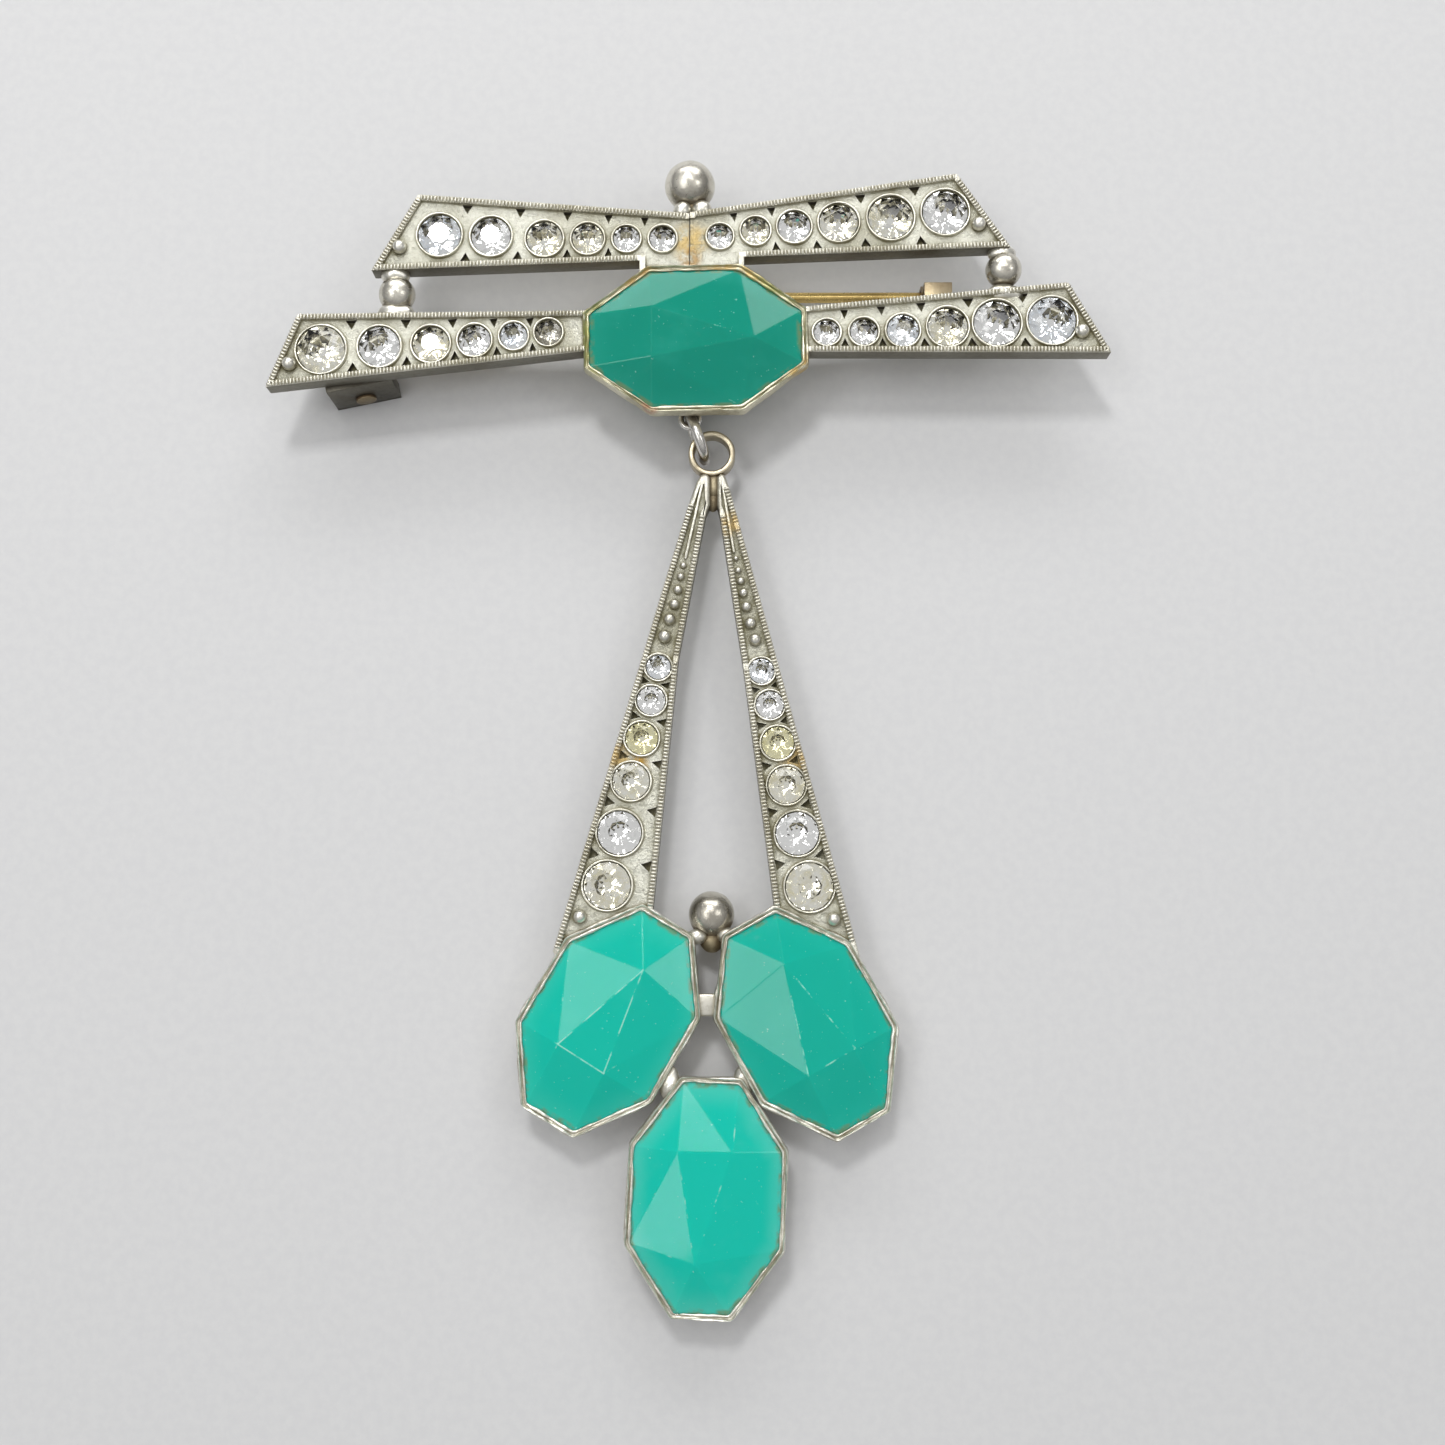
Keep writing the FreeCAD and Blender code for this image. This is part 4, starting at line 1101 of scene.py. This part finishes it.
def ring_points(count, radius, height, turn):
    """Ring of points in edit order, as its own object."""
    deselect()
    bpy.ops.mesh.primitive_circle_add(
        vertices=count, radius=radius, location=(0, 0, height), rotation=(0, 0, math.radians(turn)))
    return bpy.context.object


def brilliant():
    """Brilliant of unit diameter with the top of its girdle at zero."""
    gem = joined([ring_points(*ring) for ring in FACET_RINGS], "brilliant_cut")
    apply_place(gem)
    edit_all(gem)
    bpy.ops.mesh.convex_hull(
        join_triangles=True, face_threshold=math.radians(2), shape_threshold=math.radians(60))
    bpy.ops.mesh.normals_make_consistent(inside=False)
    bpy.ops.object.mode_set(mode="OBJECT")
    for face in gem.data.polygons:
        face.material_index = 1 if face.normal.z < -0.1 else 0
    return gem


master = brilliant()
print("facets of a paste:", len(master.data.polygons))

# %% [markdown]
# ## Paste glass and foil
# A paste sparkles because silver foil lies behind it. The glass is clear, so light goes in, bounces off the
# foil and comes out broken up by the facets. The foil is a mirror, and age has dulled or yellowed it in
# patches, which is why no two pastes of a row look alike.

# %% Paste glass and foil


def clear_glass(name, tint):
    """Clear paste glass, scuffed on its facet edges."""
    material = bpy.data.materials.new(name)
    material.use_nodes = True
    tree = material.node_tree
    shader = tree.nodes["Principled BSDF"]
    shader.inputs["IOR"].default_value = 1.6
    shader.inputs["Transmission Weight"].default_value = 1.0
    place = add(tree, "ShaderNodeTexCoord").outputs["Object"]
    wire(tree, (ramp(tree, noise(tree, place, 0.25, 4.0), 0.5, 0.8, 0.0, 0.06), shader.inputs["Roughness"]))
    shade = tuple(v * 0.97 for v in tint[:3]) + (1,)
    wire(tree, (mixed(tree, ramp(tree, noise(tree, place, 0.8), 0.4, 0.7), tint, shade), shader.inputs["Base Color"]))
    return material


def foil(name, bright, aged, age):
    """Silver foil behind a paste; age is how much of it has gone dull or yellow."""
    material = bpy.data.materials.new(name)
    material.use_nodes = True
    tree = material.node_tree
    shader = tree.nodes["Principled BSDF"]
    shader.inputs["Metallic"].default_value = 1.0
    place = add(tree, "ShaderNodeTexCoord").outputs["Object"]
    patch = ramp(tree, noise(tree, place, 0.9), 0.7 - age, 0.85 - age * 0.6)
    wire(tree, (mixed(tree, patch, bright, aged), shader.inputs["Base Color"]))
    wire(tree, (ramp(tree, patch, 0.0, 1.0, 0.02, 0.12), shader.inputs["Roughness"]))
    return material


white_paste = clear_glass("paste_glass_clear", (1.0, 1.0, 0.985, 1))
yellow_paste = clear_glass("paste_glass_yellowed", (1.0, 0.99, 0.93, 1))
foils = {
    "bright": foil("foil_bright", (1.0, 1.0, 1.0, 1), (0.90, 0.91, 0.90, 1), 0.15),
    "cool": foil("foil_cool", (0.98, 0.99, 1.0, 1), (0.84, 0.88, 0.94, 1), 0.25),
    "aged": foil("foil_aged", (0.99, 0.985, 0.95, 1), (0.93, 0.90, 0.76, 1), 0.3),
    "yellow": foil("foil_yellow", (0.98, 0.97, 0.84, 1), (0.94, 0.91, 0.70, 1), 0.35),
    "dark": foil("foil_dark", (0.82, 0.81, 0.77, 1), (0.50, 0.47, 0.40, 1), 0.35)}
print("foils:", list(foils))

# %% [markdown]
# ## Round pastes
# One gem is cut, and every paste is a copy with its own mesh, scaled to its node, leaned by a few degrees and
# turned at random, so no two catch the light in the same way. A gem is slightly wider than its node, which
# hides its girdle under the collet.

# %% Round pastes
AGED = {
    "upper_left": ["cool", "bright", "aged", "aged", "bright", "bright"],
    "upper_right": ["bright", "aged", "aged", "bright", "aged", "bright"],
    "lower_left": ["aged", "bright", "aged", "bright", "cool", "dark"],
    "lower_right": ["cool", "bright", "aged", "cool", "bright", "bright"],
    "drop_left": ["cool", "bright", "yellow", "aged", "bright", "aged"],
    "drop_right": ["cool", "bright", "yellow", "aged", "bright", "aged"]}
LEAN, UNDER_COLLET, GIRDLE_DROP = 0.06, 0.14, 0.17
for arm, kinds in AGED.items():
    for number, ((x, y, diameter), kind) in enumerate(zip(pastes_of(arm), kinds), 1):
        gem = master.copy()
        gem.data = master.data.copy()
        bpy.context.scene.collection.objects.link(gem)
        gem.scale = ((diameter + UNDER_COLLET) * MM, (diameter + UNDER_COLLET) * MM, diameter * MM)
        gem.rotation_euler = (rng.uniform(-LEAN, LEAN), rng.uniform(-LEAN, LEAN), rng.uniform(0, math.tau))
        gem.location = (x * MM, y * MM, (ARM_FACE[arm] - GIRDLE_DROP) * MM)
        apply_place(gem)
        paint(gem, yellow_paste if kind == "yellow" else white_paste, foils[kind])
        for polygon, source in zip(gem.data.polygons, master.data.polygons):
            polygon.material_index = source.material_index
        gem = joined([gem], arm + "_brilliant_" + str(number))
        hand_over(gem, ARM_BODY[arm], "paste_glass", arm + "_paste_" + str(number))
bpy.data.objects.remove(master)
print("pastes set:", sum(len(kinds) for kinds in AGED.values()))

# %% [markdown]
# ## Green glass
# The octagons are pressed glass in a milky green. Light goes a little way into such glass and comes out
# again, which subsurface scattering gives, and its polished facets mirror the window. A Mapping node centres
# a pattern on the stone: the colour pales towards the rim, and a broken dark olive band beside the bezel is
# painted shade, where the stone sits deep under the lip. Old stones also have pale specks, and their facet
# edges are chipped white in places.

# %% Green glass
RIM_SHADE = (0.20, 0.24, 0.10, 1)
SPECK = (0.32, 0.70, 0.60, 1)
CHIPPED = (0.28, 0.68, 0.56, 1)
CORNER_ACROSS, CORNER_ALONG = 0.688, 0.742
EDGE_ROUGHNESS = 0.08


def milky_glass(name, side, deep, pale, edge, chips=None):
    """Milky green glass; edge is how strongly it pales towards its rim, chips how worn a facet edge is."""
    centre = middle(side + "_stone")
    material = bpy.data.materials.new(name)
    material.use_nodes = True
    tree = material.node_tree
    shader = tree.nodes["Principled BSDF"]
    shader.inputs["IOR"].default_value = 1.55
    shader.inputs["Specular IOR Level"].default_value = 0.25
    shader.inputs["Subsurface Weight"].default_value = 0.7
    shader.inputs["Subsurface Radius"].default_value = (0.3, 1.0, 0.8)
    shader.inputs["Subsurface Scale"].default_value = 0.9 * MM
    place = add(tree, "ShaderNodeTexCoord").outputs["Object"]
    centred = add(tree, "ShaderNodeMapping", vector_type="TEXTURE")
    centred.inputs["Location"].default_value = (centre.x * MM, centre.y * MM, SETTINGS[side]["face"] * MM)
    centred.inputs["Rotation"].default_value = (0, 0, math.radians(SETTINGS[side]["turn"]))
    centred.inputs["Scale"].default_value = (STONE_WIDTH / 2 * MM, STONE_LENGTH / 2 * MM, 8 * MM)
    split = add(tree, "ShaderNodeSeparateXYZ")
    wire(tree, (place, centred.inputs["Vector"]), (centred.outputs["Vector"], split.inputs[0]))
    across = maths(tree, "ABSOLUTE", split.outputs["X"], 0)
    along = maths(tree, "ABSOLUTE", split.outputs["Y"], 0)
    across_share = maths(tree, "MULTIPLY", across, CORNER_ACROSS)
    corner = maths(tree, "ADD", across_share, maths(tree, "MULTIPLY", along, CORNER_ALONG))
    out = maths(tree, "MAXIMUM", maths(tree, "MAXIMUM", across, along), corner)
    cloud = noise(tree, place, 4.0, 3.0)
    rim = maths(tree, "MULTIPLY", ramp(tree, out, 0.72, 1.0), edge)
    mask = maths(tree, "ADD", rim, ramp(tree, cloud, 0.5, 0.8, 0.0, 0.2))
    colour = mixed(tree, mask, deep, pale)
    scratches = noise(tree, place, 0.5, 5.0)
    # Painted shade: a broken dark band round the rim of the stone, beside the bezel.
    shaded_rim = ramp(tree, out, 0.925, 0.965)
    rim_shade = maths(tree, "MULTIPLY", shaded_rim, ramp(tree, noise(tree, place, 1.1), 0.42, 0.62, 0.0, 0.7))
    colour = mixed(tree, rim_shade, colour, RIM_SHADE)
    specks = ramp(tree, noise(tree, place, 0.28, 2.0), 0.70, 0.76, 0.0, 0.55)
    colour = mixed(tree, specks, colour, SPECK)
    if chips is not None:
        worn = ramp(tree, noise(tree, place, 1.6, 6.0, 0.7), chips, chips + 0.12)
        colour = mixed(tree, worn, colour, CHIPPED)
    wire(tree, (colour, shader.inputs["Base Color"]))
    ground = 0.0 if chips is None else EDGE_ROUGHNESS
    wire(tree, (ramp(tree, scratches, 0.5, 0.8, 0.05 + ground, 0.16 + ground), shader.inputs["Roughness"]))
    relief = add(tree, "ShaderNodeBump", in_Strength=0.04, in_Distance=0.05 * MM)
    wire(
        tree, (noise(tree, place, 1.6, 2.0), relief.inputs["Height"]),
        (relief.outputs["Normal"], shader.inputs["Normal"]))
    return material


print("materials before the octagons:", len(bpy.data.materials))

# %% [markdown]
# ## Green octagons
# A copy of each stone keeps its facets, and a narrow bevel along them takes a second, rougher glass. The
# edges of the raised table are worn most, so they have a third. Three stones were pressed with a corner of
# the table a little out of place, which changes how the facets round it mirror the window.

# %% Green octagons
GREENS = {
    "centre": ((0.0, 0.27, 0.19, 1), (0.04, 0.42, 0.33, 1), 0.15, 0.58),
    "drop_left": ((0.0, 0.50, 0.39, 1), (0.06, 0.58, 0.45, 1), 0.35, 0.42),
    "drop_right": ((0.0, 0.43, 0.33, 1), (0.03, 0.52, 0.41, 1), 0.2, 0.48),
    "drop_bottom": ((0.0, 0.53, 0.42, 1), (0.12, 0.60, 0.49, 1), 0.5, 0.52)}
MOVED_CORNERS = {
    "centre": ((0.67, 4.62), (-0.39, 4.54), 0), "drop_left": ((0.67, 4.62), (-0.39, 4.54), 0),
    "drop_bottom": ((-1.79, -3.44), (-1.79, -3.44), -0.2)}
TABLE_RISE, FACET_WEAR = 0.95, 0.6
EDGE_SLOT, TABLE_SLOT = 1, 2
for side, (deep, pale, edge, table_wear) in GREENS.items():
    face = SETTINGS[side]["face"]
    stone = softened(side + "_stone", 0)
    if side in MOVED_CORNERS:
        old, new, rise = MOVED_CORNERS[side]
        (ax, ay), (bx, by) = in_place([old, new], side)
        meant = Vector((ax, ay, face + TABLE_RISE)) * MM
        corner = min(stone.data.vertices, key=lambda v: (v.co - meant).length)
        corner.co += Vector((bx - ax, by - ay, rise)) * MM
    paint(
        stone, milky_glass(side + "_green_glass", side, deep, pale, edge),
        milky_glass(side + "_facet_edge", side, deep, pale, edge, FACET_WEAR),
        milky_glass(side + "_table_edge", side, deep, pale, edge, table_wear))
    modify(
        stone, "BEVEL", width=0.05 * MM, segments=1, limit_method="ANGLE", angle_limit=math.radians(3),
        material=EDGE_SLOT)
    for polygon in stone.data.polygons:
        if polygon.material_index == EDGE_SLOT and polygon.center.z > (face + 0.9) * MM:
            polygon.material_index = TABLE_SLOT
    activate(stone)
    bpy.ops.object.shade_flat()
    hand_over(joined([stone], side + "_octagon"), SETTINGS[side]["body"], "green_glass", side + "_stone")

# %% [markdown]
# ## Lights
# Metal and facets show what they mirror more than what falls on them. A small bright window beyond the top
# of the brooch throws the shadows towards the drop, and a wide low one and a side window fill them. The
# small cards each stand where one facet of an octagon mirrors them, which gives that facet its pale veil.
# Every light is an area light that looks at the brooch, with a radiance that doesn't change with its size.

# %% Lights
LIGHTS = {
    "window": ((-0.06, 0.242, 0.398), (0.072, 0.072), 38),
    "low_window": ((0, 0.43, 0.207), (0.56, 0.12), 3.8),
    "side_window": ((0.154, 0.365, 0.268), (0.10, 0.08), 4.4),
    "left_card": ((-0.185, 0.06, 0.35), (0.17, 0.085), 4.0),
    "lower_left_card": ((-0.138, -0.070, 0.35), (0.06, 0.05), 4.0),
    "foot_left_card": ((-0.222, -0.120, 0.35), (0.045, 0.045), 4.0),
    "right_card": ((0.236, 0.016, 0.306), (0.075, 0.085), 4.0),
    "top_card": ((0.04, 0.095, 0.28), (0.045, 0.045), 4.0)}
for name, (spot, size, radiance) in LIGHTS.items():
    lamp = bpy.data.lights.new(name, "AREA")
    lamp.shape = "RECTANGLE"
    lamp.size, lamp.size_y = size
    lamp.energy = radiance * math.pi * size[0] * size[1]
    light = bpy.data.objects.new(name, lamp)
    light.location = spot
    light.rotation_euler = (-Vector(spot)).to_track_quat("-Z", "Y").to_euler()
    bpy.context.scene.collection.objects.link(light)
print("lights:", list(LIGHTS))

# %% [markdown]
# ## Sky and card
# The sky is brighter overhead than at the horizon, so polished metal has a gradient to mirror. The brooch
# lies on a pale card, a large plane just under it with a faint speckle.

# %% Sky and card
HORIZON, ZENITH = (0.16, 0.16, 0.165, 1), (0.60, 0.60, 0.60, 1)
world = bpy.data.worlds.new("studio")
bpy.context.scene.world = world
world.use_nodes = True
tree = world.node_tree
direction = add(tree, "ShaderNodeTexCoord").outputs["Generated"]
split = add(tree, "ShaderNodeSeparateXYZ")
wire(tree, (direction, split.inputs[0]))
sky = mixed(tree, ramp(tree, split.outputs["Z"], -0.1, 0.9), HORIZON, ZENITH)
wire(tree, (sky, tree.nodes["Background"].inputs["Color"]))

CARD_GREY, CARD_PALE = (0.615, 0.615, 0.62, 1), (0.64, 0.64, 0.64, 1)
deselect()
bpy.ops.mesh.primitive_plane_add(size=6.0, location=(0, 0, -0.00005))
floor = bpy.context.object
floor.name = "floor"
card = bpy.data.materials.new("pale_card")
card.use_nodes = True
tree = card.node_tree
shader = tree.nodes["Principled BSDF"]
place = add(tree, "ShaderNodeTexCoord").outputs["Object"]
speckle = ramp(tree, noise(tree, place, 0.8, 3.0), 0.3, 0.7)
wire(tree, (mixed(tree, speckle, CARD_GREY, CARD_PALE), shader.inputs["Base Color"]))
shader.inputs["Roughness"].default_value = 0.9
paint(floor, card)
print("card of", [round(v, 2) for v in floor.dimensions[:2]], "m")

# %% [markdown]
# ## Camera
# The camera looks down on the brooch from a short distance, leaned a few degrees towards its foot, with a
# lens that takes in the whole height. LOOK is the point it looks at, and DISTANCE how far away it stands.

# %% Camera
TILT = math.radians(8)
LOOK = Vector((2.6, -0.2, 3.0)) * MM
DISTANCE = 131.17
camera_data = bpy.data.cameras.new("camera")
camera_data.sensor_width = 36.0
camera_data.lens = 42.35
camera_data.clip_start = 0.005
camera_data.clip_end = 20.0
camera = bpy.data.objects.new("camera", camera_data)
camera.location = LOOK + Vector((0, -math.sin(TILT), math.cos(TILT))) * DISTANCE * MM
camera.rotation_euler = (TILT, 0, 0)
bpy.context.scene.collection.objects.link(camera)
bpy.context.scene.camera = camera
bpy.context.scene.view_settings.view_transform = "Standard"
print("camera at", [round(v / MM, 1) for v in camera.location], "mm")
